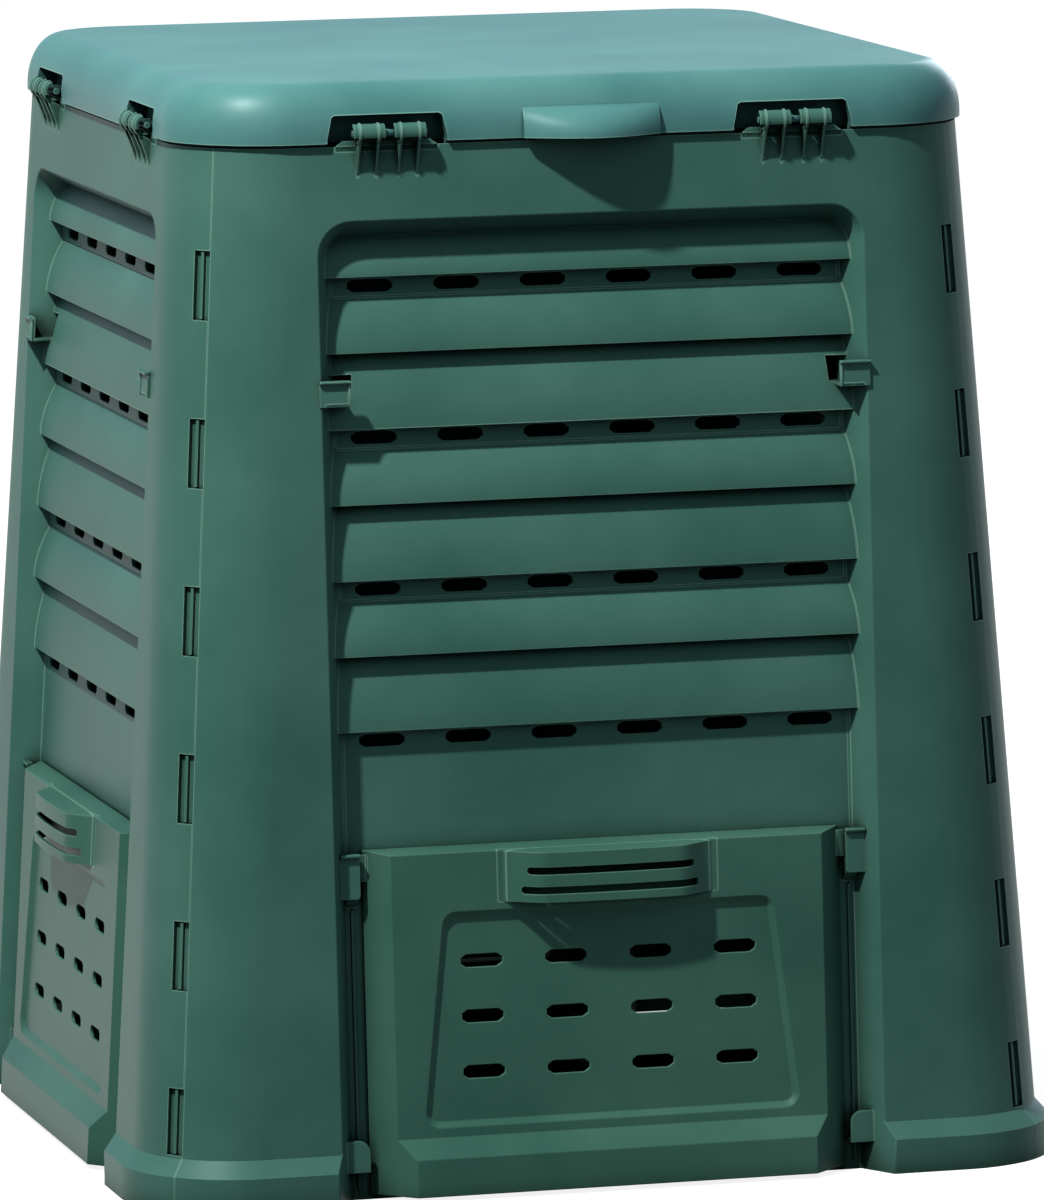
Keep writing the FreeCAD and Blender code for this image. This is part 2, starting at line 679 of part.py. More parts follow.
def make_lid():
    outer = lid_form(0.0, LID_LOW, 3, 6)
    inner = lid_form(LID_SKIN, LID_LOW - 5.0, 2, HIDDEN_FLATS)
    low = WALL_TOP + REST

    # bowed grip with a rounded upper edge, hollow below
    grip = prism(grip_plan(0.0, LID_LOW), V(0, 0, LID_GRIP_TOP - LID_LOW))
    crown = [e for e in grip.Edges if min(v.Z for v in e.Vertexes) > LID_GRIP_TOP - 0.1
             and min(v.Y for v in e.Vertexes) < -(LID_HALF - 2.0)
             and max(v.Y for v in e.Vertexes) < -(LID_HALF - 2.0)]
    grip = grip.makeChamfer(5.0, crown)
    hollow = prism(grip_plan(LID_SKIN, LID_LOW - 5.0), V(0, 0, LID_GRIP_TOP - LID_LOW + 5.0 - LID_SKIN))

    pockets, walls = [], []
    for turn in range(4):
        pockets += [turned(p, turn) for p in pocket(0.0, POCKET_DEEP, low - 20)]
        walls += [turned(p, turn) for p in pocket(LID_SKIN, POCKET_DEEP + LID_SKIN, LID_LOW + 0.5)]
    cavity = inner.cut(Part.makeCompound(walls)).cut(grip)
    shell = outer.fuse(grip).cut(cavity).cut(hollow)

    # ledge that rests on the walls, and the lip that drops inside them
    top = LID_LOW + 3.0
    lip_out, lip_in = half(WALL_TOP) - SKIN - 1.3, half(WALL_TOP) - SKIN - 4.3
    r = CORNER_R - SKIN
    ledge = facet_square(LID_HALF - 1.0, CORNER_R + 3.0, LID_LOW, top)
    step = facet_square(half(WALL_TOP) - 0.8, CORNER_R, low, top)
    lip = facet_square(lip_out, r - 1.3, low - 8.0, top)
    hole = facet_square(lip_in, r - 4.3, low - 12.0, top + 2.0)
    frame = join([ledge, step, lip]).cut(hole).cut(hollow)
    shell = shell.fuse(frame).cut(Part.makeCompound(pockets))

    # hinge rods, from side to side of each pocket
    rod_y = -(half(CLIP_Z) + CLIP_OUT - PIN_IN)
    rods = []
    reach = POCKET_HALF - 1.0
    for mid in (-CLIP_AT, CLIP_AT):
        ring = [V(mid - reach, rod_y + PIN_R * math.cos(a), CLIP_Z + PIN_R * math.sin(a))
                for a in [math.pi * (k + 0.5) / 4.0 for k in range(8)]]
        rods.append(poly(ring, V(2 * reach, 0, 0)))
    rods = [turned(s, turn) for turn in range(4) for s in rods]
    return tidy(join([shell] + rods))


def main():
    names = ("front", "right", "back", "left")
    wall, door = front_wall(), front_door()
    pieces = {"lid": make_lid()}
    for turn, name in enumerate(names):
        pieces["wall_" + name] = turned(wall, turn)
        pieces["door_" + name] = turned(door, turn)
    for name, shape in pieces.items():
        shape.exportStep("parts/" + name + ".step")
        box = shape.BoundBox
        print(name, "solids", len(shape.Solids), "valid", shape.isValid(), "volume", round(shape.Volume),
              "box", [round(c, 1) for c in (box.XMin, box.XMax, box.YMin, box.YMax, box.ZMin, box.ZMax)])


main()
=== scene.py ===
"""Garden compost bin with a lift-up lid and four hatch doors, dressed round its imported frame.

Sizes are in millimetres on the front panel and turned in quarter turns for the other three sides.
"""
import logging
from collections.abc import Callable, Sequence
from dataclasses import dataclass, field
from enum import Enum
from math import asin, atan, cos, degrees, pi, radians, sin, tan

import bmesh
import bpy
from mathutils import Matrix, Vector


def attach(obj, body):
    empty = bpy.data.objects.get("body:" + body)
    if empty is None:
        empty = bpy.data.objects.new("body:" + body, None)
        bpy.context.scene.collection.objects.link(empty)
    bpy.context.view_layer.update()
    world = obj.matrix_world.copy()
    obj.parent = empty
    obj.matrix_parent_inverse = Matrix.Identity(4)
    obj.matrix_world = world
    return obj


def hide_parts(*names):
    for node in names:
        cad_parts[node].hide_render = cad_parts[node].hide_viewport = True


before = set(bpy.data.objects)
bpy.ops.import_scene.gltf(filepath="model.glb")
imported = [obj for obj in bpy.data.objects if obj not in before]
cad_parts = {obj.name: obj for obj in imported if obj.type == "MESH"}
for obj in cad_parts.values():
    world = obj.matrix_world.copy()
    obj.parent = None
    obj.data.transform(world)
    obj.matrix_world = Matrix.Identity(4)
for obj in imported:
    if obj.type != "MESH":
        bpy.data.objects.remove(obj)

LOG = logging.getLogger("compost_bin")
MM = 0.001
# Corners of a piece nearer than this, in millimetres, are one corner
MERGE = 0.02
# Faces that meet at more than this angle, in degrees, meet in a visible edge
SHARP = 32.0
Point = tuple[float, float, float]
Pair = tuple[float, float]
# Corners, and faces by corner number
Shell = tuple[list[Vector], list[tuple[int, ...]]]


class Side(Enum):
    """The four sides of the bin, as quarter turns from the front."""

    FRONT = 0
    RIGHT = 1
    BACK = 2
    LEFT = 3

    @property
    def word(self) -> str:
        """The side's name as the frame writes it."""
        return self.name.lower()

    @property
    def spin(self) -> Matrix:
        """The turn from the front to this side."""
        return Matrix.Rotation(radians(90.0 * self.value), 3, "Z")


class Way(Enum):
    """What one block does to another."""

    UNION = "is joined to it"
    DIFFERENCE = "is taken from it"


def linear(code: str) -> tuple[float, float, float, float]:
    """Turn an sRGB hex colour to linear.

    Args:
        code: The colour as six hex digits.

    Returns:
        Red, green and blue, linear, and an alpha of 1.
    """
    out = []
    for i in (0, 2, 4):
        c = int(code[i:i + 2], 16) / 255.0
        out.append(c / 12.92 if c <= 0.04045 else ((c + 0.055) / 1.055) ** 2.4)
    return out[0], out[1], out[2], 1.0


def sweep(start: float, stop: float, steps: int) -> list[float]:
    """Angles in radians from one angle in degrees to another, both included."""
    return [radians(start + (stop - start) * i / steps) for i in range(steps + 1)]


def arc(centre: Pair, radius: float, start: float, stop: float, steps: int) -> list[Pair]:
    """Points on a flat arc of so many chords from one angle in degrees to another, both included."""
    turns = sweep(start, stop, steps)
    return [(centre[0] + radius * cos(a), centre[1] + radius * sin(a)) for a in turns]


def grid(rows: Sequence[Sequence[Vector]], keep: Callable[[int, int], bool] | None = None,
         loop: bool = False) -> Shell:
    """Skin rows of points with four-sided faces.

    Args:
        rows: Rows of points, all of one length.
        keep: Says for a row and a column whether the face there stays.
        loop: Whether each row closes on itself.

    Returns:
        The skin.
    """
    wide = len(rows[0])
    faces = []
    for i in range(len(rows) - 1):
        for j in range(wide if loop else wide - 1):
            if keep is None or keep(i, j):
                k = (j + 1) % wide
                faces.append((i * wide + j, i * wide + k, (i + 1) * wide + k, (i + 1) * wide + j))
    return [p for row in rows for p in row], faces


def capped(rows: Sequence[Sequence[Vector]]) -> Shell:
    """Closed block over rings of points, with a face on the first and the last."""
    (points, faces), wide = grid(rows, loop=True), len(rows[0])
    return points, faces + [tuple(reversed(range(wide))), tuple(range(len(points) - wide, len(points)))]


def prism(ring: Sequence[Vector], far: Sequence[Vector]) -> Shell:
    """Closed solid between two matching outlines.

    Args:
        ring: First outline.
        far: Second outline.

    Returns:
        The solid.
    """
    n = len(ring)
    faces: list[tuple[int, ...]] = [tuple(range(n)), tuple(range(2 * n - 1, n - 1, -1))]
    faces += [(i, (i + 1) % n, n + (i + 1) % n, n + i) for i in range(n)]
    return list(ring) + list(far), [tuple(reversed(f)) for f in faces]


def join(shell: Shell, more: Shell) -> None:
    """Add the corners and faces of one shell to another."""
    shell[1].extend([tuple(len(shell[0]) + i for i in f) for f in more[1]])
    shell[0].extend(more[0])


def placed(name: str, data: bpy.types.ID) -> bpy.types.Object:
    """Make an object and put it in the scene.

    Args:
        name: Its name.
        data: Its mesh, lamp or camera.

    Returns:
        The object.
    """
    piece = bpy.data.objects.new(name, data)
    bpy.context.scene.collection.objects.link(piece)
    return piece


def solid(name: str, shell: Shell, merge: bool = False, out: Vector | None = None) -> bpy.types.Object:
    """Make an object from a shell, with its faces turned outwards.

    Args:
        name: Its name.
        shell: The shell, in millimetres.
        merge: Whether corners that lie together become one.
        out: Which way the front of an open sheet faces, or None for a closed block.

    Returns:
        The object, set out in metres.
    """
    mesh = bpy.data.meshes.new(name)
    mesh.from_pydata([p * MM for p in shell[0]], [], shell[1])
    tidy = bmesh.new()
    tidy.from_mesh(mesh)
    if merge:
        bmesh.ops.remove_doubles(tidy, verts=tidy.verts, dist=MERGE * MM)
    bmesh.ops.recalc_face_normals(tidy, faces=tidy.faces)
    if out is not None and sum((f.normal * f.calc_area() for f in tidy.faces), Vector()).dot(out) < 0.0:
        bmesh.ops.reverse_faces(tidy, faces=tidy.faces)
    tidy.to_mesh(mesh)
    tidy.free()
    return placed(name, mesh)


def combine(piece: bpy.types.Object, tool: bpy.types.Object, way: Way) -> None:
    """Join a block with another or take the other from it, then remove the other.

    Args:
        piece: The block that is changed.
        tool: The other block.
        way: What the other does to it.
    """
    step = piece.modifiers.new("combine", "BOOLEAN")
    step.operation, step.object, step.solver = way.name, tool, "EXACT"
    view = bpy.context.evaluated_depsgraph_get()
    done = bpy.data.meshes.new_from_object(piece.evaluated_get(view))
    piece.modifiers.clear()
    old, spare = piece.data, tool.data
    piece.data = done
    bpy.data.objects.remove(tool)
    bpy.data.meshes.remove(old)
    bpy.data.meshes.remove(spare)


@dataclass
class Draft:
    """A mesh in the making: closed pieces that are rounded one by one and then gathered."""

    spots: list[Vector] = field(default_factory=list)  # corners of the finished pieces, in metres
    faces: list[tuple[int, ...]] = field(default_factory=list)

    def add(self, shell: Shell, edge: float, wall: float = 0.0, rounds: int = 2,
            limit: float = 35.0, out: Vector = Vector((0.0, -1.0, 0.0))) -> None:
        """Thicken a sheet if it is one, round its edges and keep it.

        Args:
            shell: The sheet or solid, in millimetres.
            edge: Width of the rounding at its sharp edges.
            wall: Thickness laid on the sheet's back, or 0 for a solid.
            rounds: Segments of that rounding.
            limit: Smallest angle in degrees that counts as a sharp edge.
            out: Which way a sheet's front faces.
        """
        piece = solid("draft", shell, True, out if wall > 0.0 else None)
        if wall > 0.0:
            thick = piece.modifiers.new("wall", "SOLIDIFY")
            thick.thickness, thick.offset, thick.use_even_offset = wall * MM, -1.0, True
        self.take(piece, edge, rounds, limit)

    def take(self, piece: bpy.types.Object, edge: float, rounds: int, limit: float) -> None:
        """Round the edges of a finished object, keep its mesh and remove it.

        Args:
            piece: The object, set out in metres.
            edge: Width of the rounding at its sharp edges.
            rounds: Segments of that rounding.
            limit: Smallest angle in degrees that counts as a sharp edge.
        """
        bevel = piece.modifiers.new("edge", "BEVEL")
        bevel.width, bevel.segments = edge * MM, rounds
        bevel.limit_method, bevel.angle_limit = "ANGLE", radians(limit)
        view = bpy.context.evaluated_depsgraph_get()
        done = piece.evaluated_get(view).to_mesh()
        base = len(self.spots)
        self.spots += [v.co.copy() for v in done.vertices]
        self.faces += [tuple(base + i for i in f.vertices) for f in done.polygons]
        piece.evaluated_get(view).to_mesh_clear()
        mesh = piece.data
        bpy.data.objects.remove(piece)
        bpy.data.meshes.remove(mesh)

    def mesh(self, name: str, side: Side = Side.FRONT) -> bpy.types.Mesh:
        """Gather the pieces in one mesh.

        Args:
            name: Name of the mesh.
            side: Side of the bin that it is turned to.

        Returns:
            The mesh, smooth but for its sharp edges.
        """
        out = bpy.data.meshes.new(name)
        turn = side.spin
        out.from_pydata([turn @ Vector((p.x, p.y, max(p.z, 0.0))) for p in self.spots], [], self.faces)
        out.validate()
        out.shade_smooth()
        out.set_sharp_from_angle(angle=radians(SHARP))
        return out


def show(mesh: bpy.types.Mesh, body: str, node: str, finish: bpy.types.Material) -> None:
    """Put a finished mesh in the scene, under its own name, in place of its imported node.

    Args:
        mesh: The mesh.
        body: Moving body that it rides on.
        node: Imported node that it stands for.
        finish: Its material.
    """
    piece = placed(mesh.name, mesh)
    mesh.materials.append(finish)
    even = piece.modifiers.new("even_shading", "WEIGHTED_NORMAL")
    even.keep_sharp, even.mode = True, "FACE_AREA"
    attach(piece, body)
    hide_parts(node)
    LOG.info("%s: %d faces", mesh.name, len(mesh.polygons))


@dataclass(frozen=True)
class Lean:
    """The leaning front wall, from which every other piece is set out."""

    foot: float = 351.3  # half width of the walls carried down to the ground
    taper: float = 0.0615  # lean inwards per millimetre of height
    corner: float = 80.0  # radius of the upright corners

    @property
    def slant(self) -> float:
        """Cosine of the lean."""
        return cos(atan(self.taper))

    def half(self, z: float) -> float:
        """Half width of the walls at a height."""
        return self.foot - self.taper * z

    def at(self, u: float, z: float, n: float) -> Vector:
        """A point along the wall, at a height and so far out of its face."""
        return Vector((u, -self.half(z) - n / self.slant, z))

    def flat(self, z: float) -> float:
        """Half length of the flat part of the wall at a height."""
        return self.half(z) - self.corner

    def skin(self, turn: float, z: float, n: float, sign: float) -> Vector:
        """A point on the right or, with a sign of -1, the left rounded corner, 45 degrees round it at the joint."""
        f, r, a = self.flat(z), self.corner + n / self.slant, radians(turn)
        return Vector((sign * (f + r * sin(a)), -(f + r * cos(a)), z))


WALL = Lean()


def slot_outline(u: float, z: float, long: float, high: float) -> list[Pair]:
    """Outline of a long air slot with slanted ends round its middle, eight corners anticlockwise."""
    a, b, h, c = long / 2.0, long / 2.0 - 4.2, high / 2.0, 0.2 * high
    return [(u - a, z - c), (u - b, z - h), (u + b, z - h), (u + a, z - c),
            (u + a, z + c), (u + b, z + h), (u - b, z + h), (u - a, z + c)]


def slab(ring: Sequence[Pair], near: float, far: float, sign: float = 1.0) -> Shell:
    """Solid between two depths over an outline in the wall, or with a sign of -1 over its mirror image."""
    return prism(*([WALL.at(sign * u, z, n) for u, z in ring] for n in (near, far)))


@dataclass
class Plate:
    """A flat sheet laid out in many-sided faces, with slots left open in it."""

    depth: float  # how far out of the wall's face it lies
    shell: Shell = field(default_factory=lambda: ([], []))

    def face(self, ring: Sequence[Pair]) -> None:
        """Add one face from its flat outline."""
        join(self.shell, ([WALL.at(u, z, self.depth) for u, z in ring], [tuple(range(len(ring)))]))

    def between(self, outer: Sequence[Sequence[Pair]], inner: Sequence[Sequence[Pair]]) -> None:
        """Fill between two outlines, each given as its right, top, left and lower side."""
        for far, near in zip(outer, inner):
            self.face(list(far) + list(reversed(near)))

    def cells(self, across: Sequence[float], up: Sequence[float], at: Sequence[float], size: Pair) -> None:
        """Lay out a block of cells with one slot in each.

        Args:
            across: Lines between the cells along the wall.
            up: Lines between the cells in height.
            at: Heights of the slots.
            size: Length and height of a slot.
        """
        whole = across[2] - across[1]
        for (z0, z1), z in zip(zip(up, up[1:]), at):
            for k, (u0, u1) in enumerate(zip(across, across[1:])):
                # the end cells are wider or narrower than the rest, but their slots keep the pitch
                shift = (u1 - u0) - whole if k == 0 else whole - (u1 - u0) if k == len(across) - 2 else 0.0
                s = slot_outline((u0 + u1 + shift) / 2.0, z, *size)
                self.face([(u0, z0), (u1, z0), s[3], s[2], s[1], s[0]])
                self.face([(u1, z0), (u1, z1), s[4], s[3]])
                self.face([(u1, z1), (u0, z1), s[7], s[6], s[5], s[4]])
                self.face([(u0, z1), (u0, z0), s[0], s[7]])


def box_sides(across: Sequence[float], up: Sequence[float]) -> list[list[Pair]]:
    """Right, top, left and lower side of a rectangle, anticlockwise, with points at these places and heights."""
    right, top = [(across[-1], z) for z in up], [(u, up[-1]) for u in reversed(across)]
    return [right, top, [(across[0], z) for z in reversed(up)], [(u, up[0]) for u in across]]


def round_sides(low: Pair, high: Pair, r: float) -> list[list[Pair]]:
    """Sides of a rounded outline that may be wider below than above.

    Args:
        low: Half width below and height of the lower side.
        high: Half width above and height of the upper side.
        r: Radius of the corners.

    Returns:
        Right, top, left and lower side, anticlockwise, split in the middle of the corners.
    """
    (a, z0), (b, z1) = low, high
    middles = [(a - r, z0 + r), (b - r, z1 - r), (r - b, z1 - r), (r - a, z0 + r)]
    half_steps = 3
    bends = [arc(spot, r, 90 * k - 90, 90 * k, 2 * half_steps) for k, spot in enumerate(middles)]
    return [bends[k][half_steps:] + bends[(k + 1) % 4][:half_steps + 1] for k in range(4)]


@dataclass
class WallPanel:
    """One of the four equal walls: louvres in a recess, corner joint, door hooks and lid clips."""

    top: float = 780.0
    skin: float = 3.0  # thickness of the moulding
    rim: float = 26.0  # height of the skirt's upright part
    band: float = 38.0  # height where the skirt meets the wall
    skirt: float = 359.5  # half width across the skirt
    recess: float = 209.0  # half width at the wall's face
    head: float = 725.0  # height of the recess's top
    bend: float = 26.0  # radius of its upper corners
    deep: float = 22.5  # depth of the recess
    draft: float = 13.0  # how far it narrows over that depth
    bite: float = 1.6  # how far hooks and strips run into its side
    slats: int = 7
    first_lip: float = 682.5  # height of the highest slat's lip
    slat_pitch: float = 55.9
    proud: float = 8.0  # how far the lips stand out of the recess's floor
    strip: float = 14.6  # height of the slotted strips
    slots: int = 6  # in a strip
    slot_pitch: float = 66.0
    slot_size: Pair = (34.5, 9.3)  # length and height
    doorway: tuple[float, float, float, float] = (170.0, 34.0, 238.0, 14.0)  # half width, foot, head and corner radius
    windows: int = 6  # in a corner
    first_window: float = 704.9  # top of the highest one
    window_pitch: float = 123.1
    window_high: float = 51.0
    hook: Point = (187.0, 224.5, 257.0)  # inner end, foot and top of the lower hooks
    park: Point = (187.5, 589.5, 609.5)  # the same of the upper hooks
    lug: Point = (185.5, 22.0, 46.0)  # the same of the guide lugs
    rail: Point = (190.5, 6.0, 216.5)  # the same of the rails
    clip_at: float = 155.0  # middle of a pair of clips
    clip_z: float = 789.5  # height of the clips' axis
    clip_out: float = 6.0  # how far the axis stands out of the wall
    clip_r: float = 5.0
    clip_t: float = 2.6
    clip_long: float = 24.0
    clip_gap: float = 7.0  # between the clips of a pair
    work: Draft = field(default_factory=Draft)

    def inside(self, n: float) -> float:
        """Half width of the recess at a depth."""
        return self.recess + n * self.draft / self.deep

    def flare(self, z: float) -> float:
        """How far the skirt stands out of the wall at a height."""
        share = min(1.0, max(0.0, (self.band - z) / (self.band - self.rim)))
        return (self.skirt - WALL.half(min(z, self.rim))) * WALL.slant * share

    def lips(self) -> list[Pair]:
        """Top and lip of each slat.

        Returns:
            Pairs of heights, from the highest slat down.
        """
        out: list[Pair] = []
        for i in range(self.slats):
            # a slotted strip follows every second slat, and the rest all but touch
            head = out[-1][1] - (self.strip if i % 2 else 0.6) if out else self.head - self.draft + 2.0
            out.append((head, self.first_lip - i * self.slat_pitch))
        return out

    def edge_profile(self, out: float) -> list[Pair]:
        """Section of the recess's side, from the wall's face to its floor.

        Args:
            out: How far the face stands out there, on the skirt.

        Returns:
            Pairs of distance outside the recess's outline and depth.
        """
        edge, foot, k = 2.2, 2.5, self.draft / self.deep
        lean = degrees(atan(k))
        share = tan(radians(90.0 - lean) / 2.0)
        first = [(d + k * out, n + out) for d, n in arc((edge * share, -edge), edge, 90.0, 180.0 - lean, 4)]
        end = -self.draft - foot * share
        # the last step is a flange that lies behind the floor
        return first + arc((end, foot - self.deep), foot, -lean, -90.0, 3) + [(end - 1.2, -self.deep - 1.8)]

    def window_rows(self) -> list[float]:
        """Heights of the windows' lower and upper edges, from the lowest."""
        tops = [self.first_window - i * self.window_pitch for i in range(self.windows)]
        return sorted([max(t - self.window_high, self.band + 2.0) for t in tops] + tops)

    def holes(self) -> list[Pair]:
        """Lower and upper edge of each window."""
        cuts = self.window_rows()
        return list(zip(cuts[0::2], cuts[1::2]))

    def build_face(self) -> None:
        """Make the wall's face round the recess, its corners, skirt and recess sides."""
        steps, base, mid = 8, self.head - self.bend, self.recess - self.bend
        rows = [0.0, 13.0, self.rim, self.band, *(z for z in self.window_rows() if z < base), base]
        high = [base, self.first_window, 730.0, 755.0, self.top]
        heights = rows + high[1:]
        profile = [self.edge_profile(self.flare(z)) for z in rows]
        upper, lip = profile[-1], profile[-1][0][0]
        # side of the recess: up the left, round, across, round and down the right
        lines = [[WALL.at(-self.recess - d, z, n) for d, n in section] for z, section in zip(rows, profile)]
        lines += [[WALL.at(-mid + (self.bend + d) * cos(a), base + (self.bend + d) * sin(a), n)
                   for d, n in upper] for a in sweep(180.0, 90.0, steps)[1:]]
        mirror = [[Vector((-p.x, p.y, p.z)) for p in line] for line in reversed(lines)]
        wide = [-mid + 2.0 * mid * i / 12 for i in range(13)]
        shell = grid(lines + [[WALL.at(u, self.head + d, n) for d, n in upper] for u in wide[1:-1]] + mirror)
        # columns of the corner, of which the last ones flank the windows
        turns = [0.0, 9.0, 18.0, 27.0, 34.97, 40.0, 44.89]
        window_column = 6

        def stays(i: int, j: int) -> bool:
            """Whether a face of the corner isn't in a window."""
            middle = (heights[i] + heights[i + 1]) / 2.0
            return j < window_column or not any(a < middle < b for a, b in self.holes())

        side, bend = self.recess + lip, self.bend + lip
        for sign in (-1.0, 1.0):
            cols = []
            for z in heights:
                out = self.flare(z)
                start = self.recess + self.edge_profile(out)[0][0]
                near = [WALL.at(sign * u, z, out) for u in (start, start * 0.5 + WALL.flat(z) * 0.5)]
                cols.append(near + [WALL.skin(t, z, out, sign) for t in turns])
            join(shell, grid(cols, stays if sign > 0.0 else None))
            # fan between the recess's rounded corner and the wall's top
            spots = [WALL.at(sign * (mid + bend * sin(a)), base + bend * cos(a), 0.0)
                     for a in sweep(90.0, 0.0, steps)]
            spots += [WALL.at(sign * side, z, 0.0) for z in high]
            spots += [WALL.at(sign * (side + (mid - side) * i / 4.0), self.top, 0.0) for i in range(1, 5)]
            fan = [(i, i + 1, steps + 2 + i, steps + 1 + i) for i in range(steps)]
            join(shell, (spots, [fan[0][:3], *fan[1:]]))
        join(shell, grid([[WALL.at(u, z, 0.0) for u in wide] for z in (self.head + lip, self.top)]))
        self.work.add(shell, wall=self.skin, edge=0.7, limit=38.0)

    def build_slat(self, section: Sequence[Pair], cut: bool) -> None:
        """Extrude a slat's section across the recess, into both sides.

        Args:
            section: Section as heights and depths, closed.
            cut: Whether the openings behind the upper hooks go through it.
        """
        bite, edge = 1.5, 0.7
        shell = prism(*([WALL.at(sign * (self.inside(n) + bite), z, n) for z, n in section] for sign in (-1.0, 1.0)))
        if not cut:
            self.work.add(shell, edge=edge, rounds=3)
            return
        slat = solid("slat", shell)
        a, low, high = self.park
        for sign in (-1.0, 1.0):
            # a hollow box behind each hook, as the mould's core leaves it
            for grow, deep, out, way in ((1.6, -66.0, -20.0, Way.UNION), (0.0, -64.5, 0.0, Way.DIFFERENCE)):
                ring = [(a - 4.0 - grow, low + 3.0 - grow), (a + 42.0 + grow, low + 3.0 - grow),
                        (a + 42.0 + grow, high + 0.5 + grow), (a - 5.5 - grow, high + 1.5 + grow)]
                combine(slat, solid("core", slab(ring, deep, out, sign)), way)
        self.work.take(slat, edge * 0.6, 2, 35.0)

    def build_louvres(self) -> None:
        """Make the curved slats, the slotted strips and the plain part below."""
        floor, back, last = -self.deep, -self.deep - self.skin, self.slats - 1
        for i, (head, lip) in enumerate(self.lips()):
            # the lifted door passes close to the lowest lip, so that one stands out less
            proud = self.proud if i == last else self.proud + 2.5
            front, rear = [], []
            for t in (k / 12.0 for k in range(13)):
                bow = proud * sin(pi / 2.0 * t) ** 0.85
                front.append((head + (lip - head) * t, floor + bow))
                rear.append((head + (lip + 3.4 - head) * t, back + bow + 0.2 * t))
            under = [(lip + 0.2, floor + proud - 1.6), (lip + 2.4, floor + 1.0), (lip - 1.4, floor - 0.2),
                     (lip - 1.4, back), (lip + 2.6, back)]
            self.build_slat(front + under + rear[::-1], head > self.park[1] > lip)
        wide, (half, foot, top, r) = self.inside(floor) + self.bite, self.doorway
        across = [-wide, *((k - self.slots / 2.0) * self.slot_pitch for k in range(1, self.slots)), wide]
        for _, lip in self.lips()[::2]:
            low, plate = lip - self.strip - 2.0, Plate(floor)
            plate.cells(across, [low, lip + 0.8], [lip - 7.0], self.slot_size)
            # the lowest one goes on to the ground, round the doorway
            if lip == self.lips()[last][1]:
                plate.between(box_sides(across, [0.0, low]), round_sides((half, foot), (half, top), r))
            self.work.add(plate.shell, wall=self.skin, edge=0.8)

    def plate(self, ring: Sequence[Pair], first: float, last: float, edge: float) -> None:
        """Add a block with its outline in the wall beside the door, and its mirror image."""
        for sign in (1.0, -1.0):
            self.work.add(slab(ring, first, last, sign), edge=edge)

    def bar(self, section: Sequence[Pair], first: float, last: float, edge: float) -> None:
        """Add a bar along the wall, with a section of heights and depths, and its mirror image."""
        for sign in (1.0, -1.0):
            ends = ([WALL.at(sign * u, z, n) for z, n in section] for u in (first, last))
            self.work.add(prism(*ends), edge=edge)

    def build_hooks(self) -> None:
        """Make the lower and upper hooks, the guide lugs and the rails for the door."""
        front, back, floor = -11.2, -14.2, -self.deep - 1.0
        # lower hook: front plate, lip on its top, bracket to the floor
        (a, low, high), wide = self.hook, self.inside(back) + self.bite
        self.plate([(a, low + 2.0), (a + 2.0, low), (wide, low), (wide, high), (a + 2.0, high), (a, high - 2.0)],
                   back, front, 0.8)
        self.bar([(high - 2.4, back), (high + 1.2, back), (high + 1.2, front + 2.4), (high - 0.8, front + 2.8),
                  (high - 2.4, front + 1.2)], a, wide, 0.9)
        self.bar([(low, back + 0.6), (low + 11.2, back + 0.6), (low + 11.2, floor), (low - 8.0, floor)],
                 a + 0.4, self.inside(floor) + self.bite, 0.6)
        # upper hook: front plate, lip on its top, inner edge and the shelf into the slat
        (a, low, high), wide = self.park, self.recess + 2.2
        self.plate([(a, low + 1.5), (a + 1.5, low), (wide, low), (wide, high - 1.0), (a + 1.5, high - 1.0),
                    (a, high - 2.5)], -1.0, 2.0, 0.8)
        self.bar([(high - 3.9, 0.0), (high - 0.5, 0.0), (high - 0.5, 4.6), (high - 2.1, 5.0), (high - 3.9, 3.0)],
                 a, wide, 0.9)
        self.bar([(low, 0.0), (high - 2.5, 0.0), (high - 2.5, 3.2), (low, 2.6)], a, a + 2.2, 0.7)
        self.bar([(low, 2.0), (low + 2.6, 2.0), (low + 2.6, -17.6), (low, -17.6)], a, self.recess - 2.0, 0.7)
        # guide lug with its bracket, then the rail that the door slides along
        (a, low, high), wide, r = self.lug, self.inside(-10.5) + self.bite, 9.0
        self.plate([(a, low), (wide, low), (wide, high)] + arc((a + r, high - r), r, 90.0, 180.0, 6), -12.0, -9.0, 0.8)
        self.bar([(low, floor), (low + 3.0, floor), (low + 3.0, -11.0), (low, -11.0)], a, a + 12.0, 0.5)
        a, low, high = self.rail
        self.bar([(low, floor), (high, floor), (high - 1.5, -20.4), (low + 1.5, -20.4)], a, a + 2.4, 0.6)

    def build_joint(self) -> None:
        """Make the flange behind the next panel and the tabs that show in its windows."""
        heights = [8.0, 40.0, 200.0, 400.0, 600.0, 770.0]
        for first, last, n, thick in ((45.0, 57.9, -3.4, 2.4), (38.8, 45.2, -2.7, 3.1)):
            turns = [first + (last - first) * k / 4 for k in range(5)]
            rows = [[WALL.skin(t, z, self.flare(z) + n, -1.0) for t in turns] for z in heights]
            self.work.add(grid(rows), wall=thick, edge=0.5, limit=30.0, out=Vector((-1.0, -1.0, 0.0)))
        tab = ((48.9, -4.4), (51.6, -4.4), (51.2, -0.9), (49.3, -0.9))
        for low, high in self.holes():
            ends = ([WALL.skin(t, z, self.flare(z) + n, -1.0) for t, n in tab] for z in (low + 1.0, high - 1.0))
            self.work.add(prism(*ends), edge=0.6, limit=30.0)

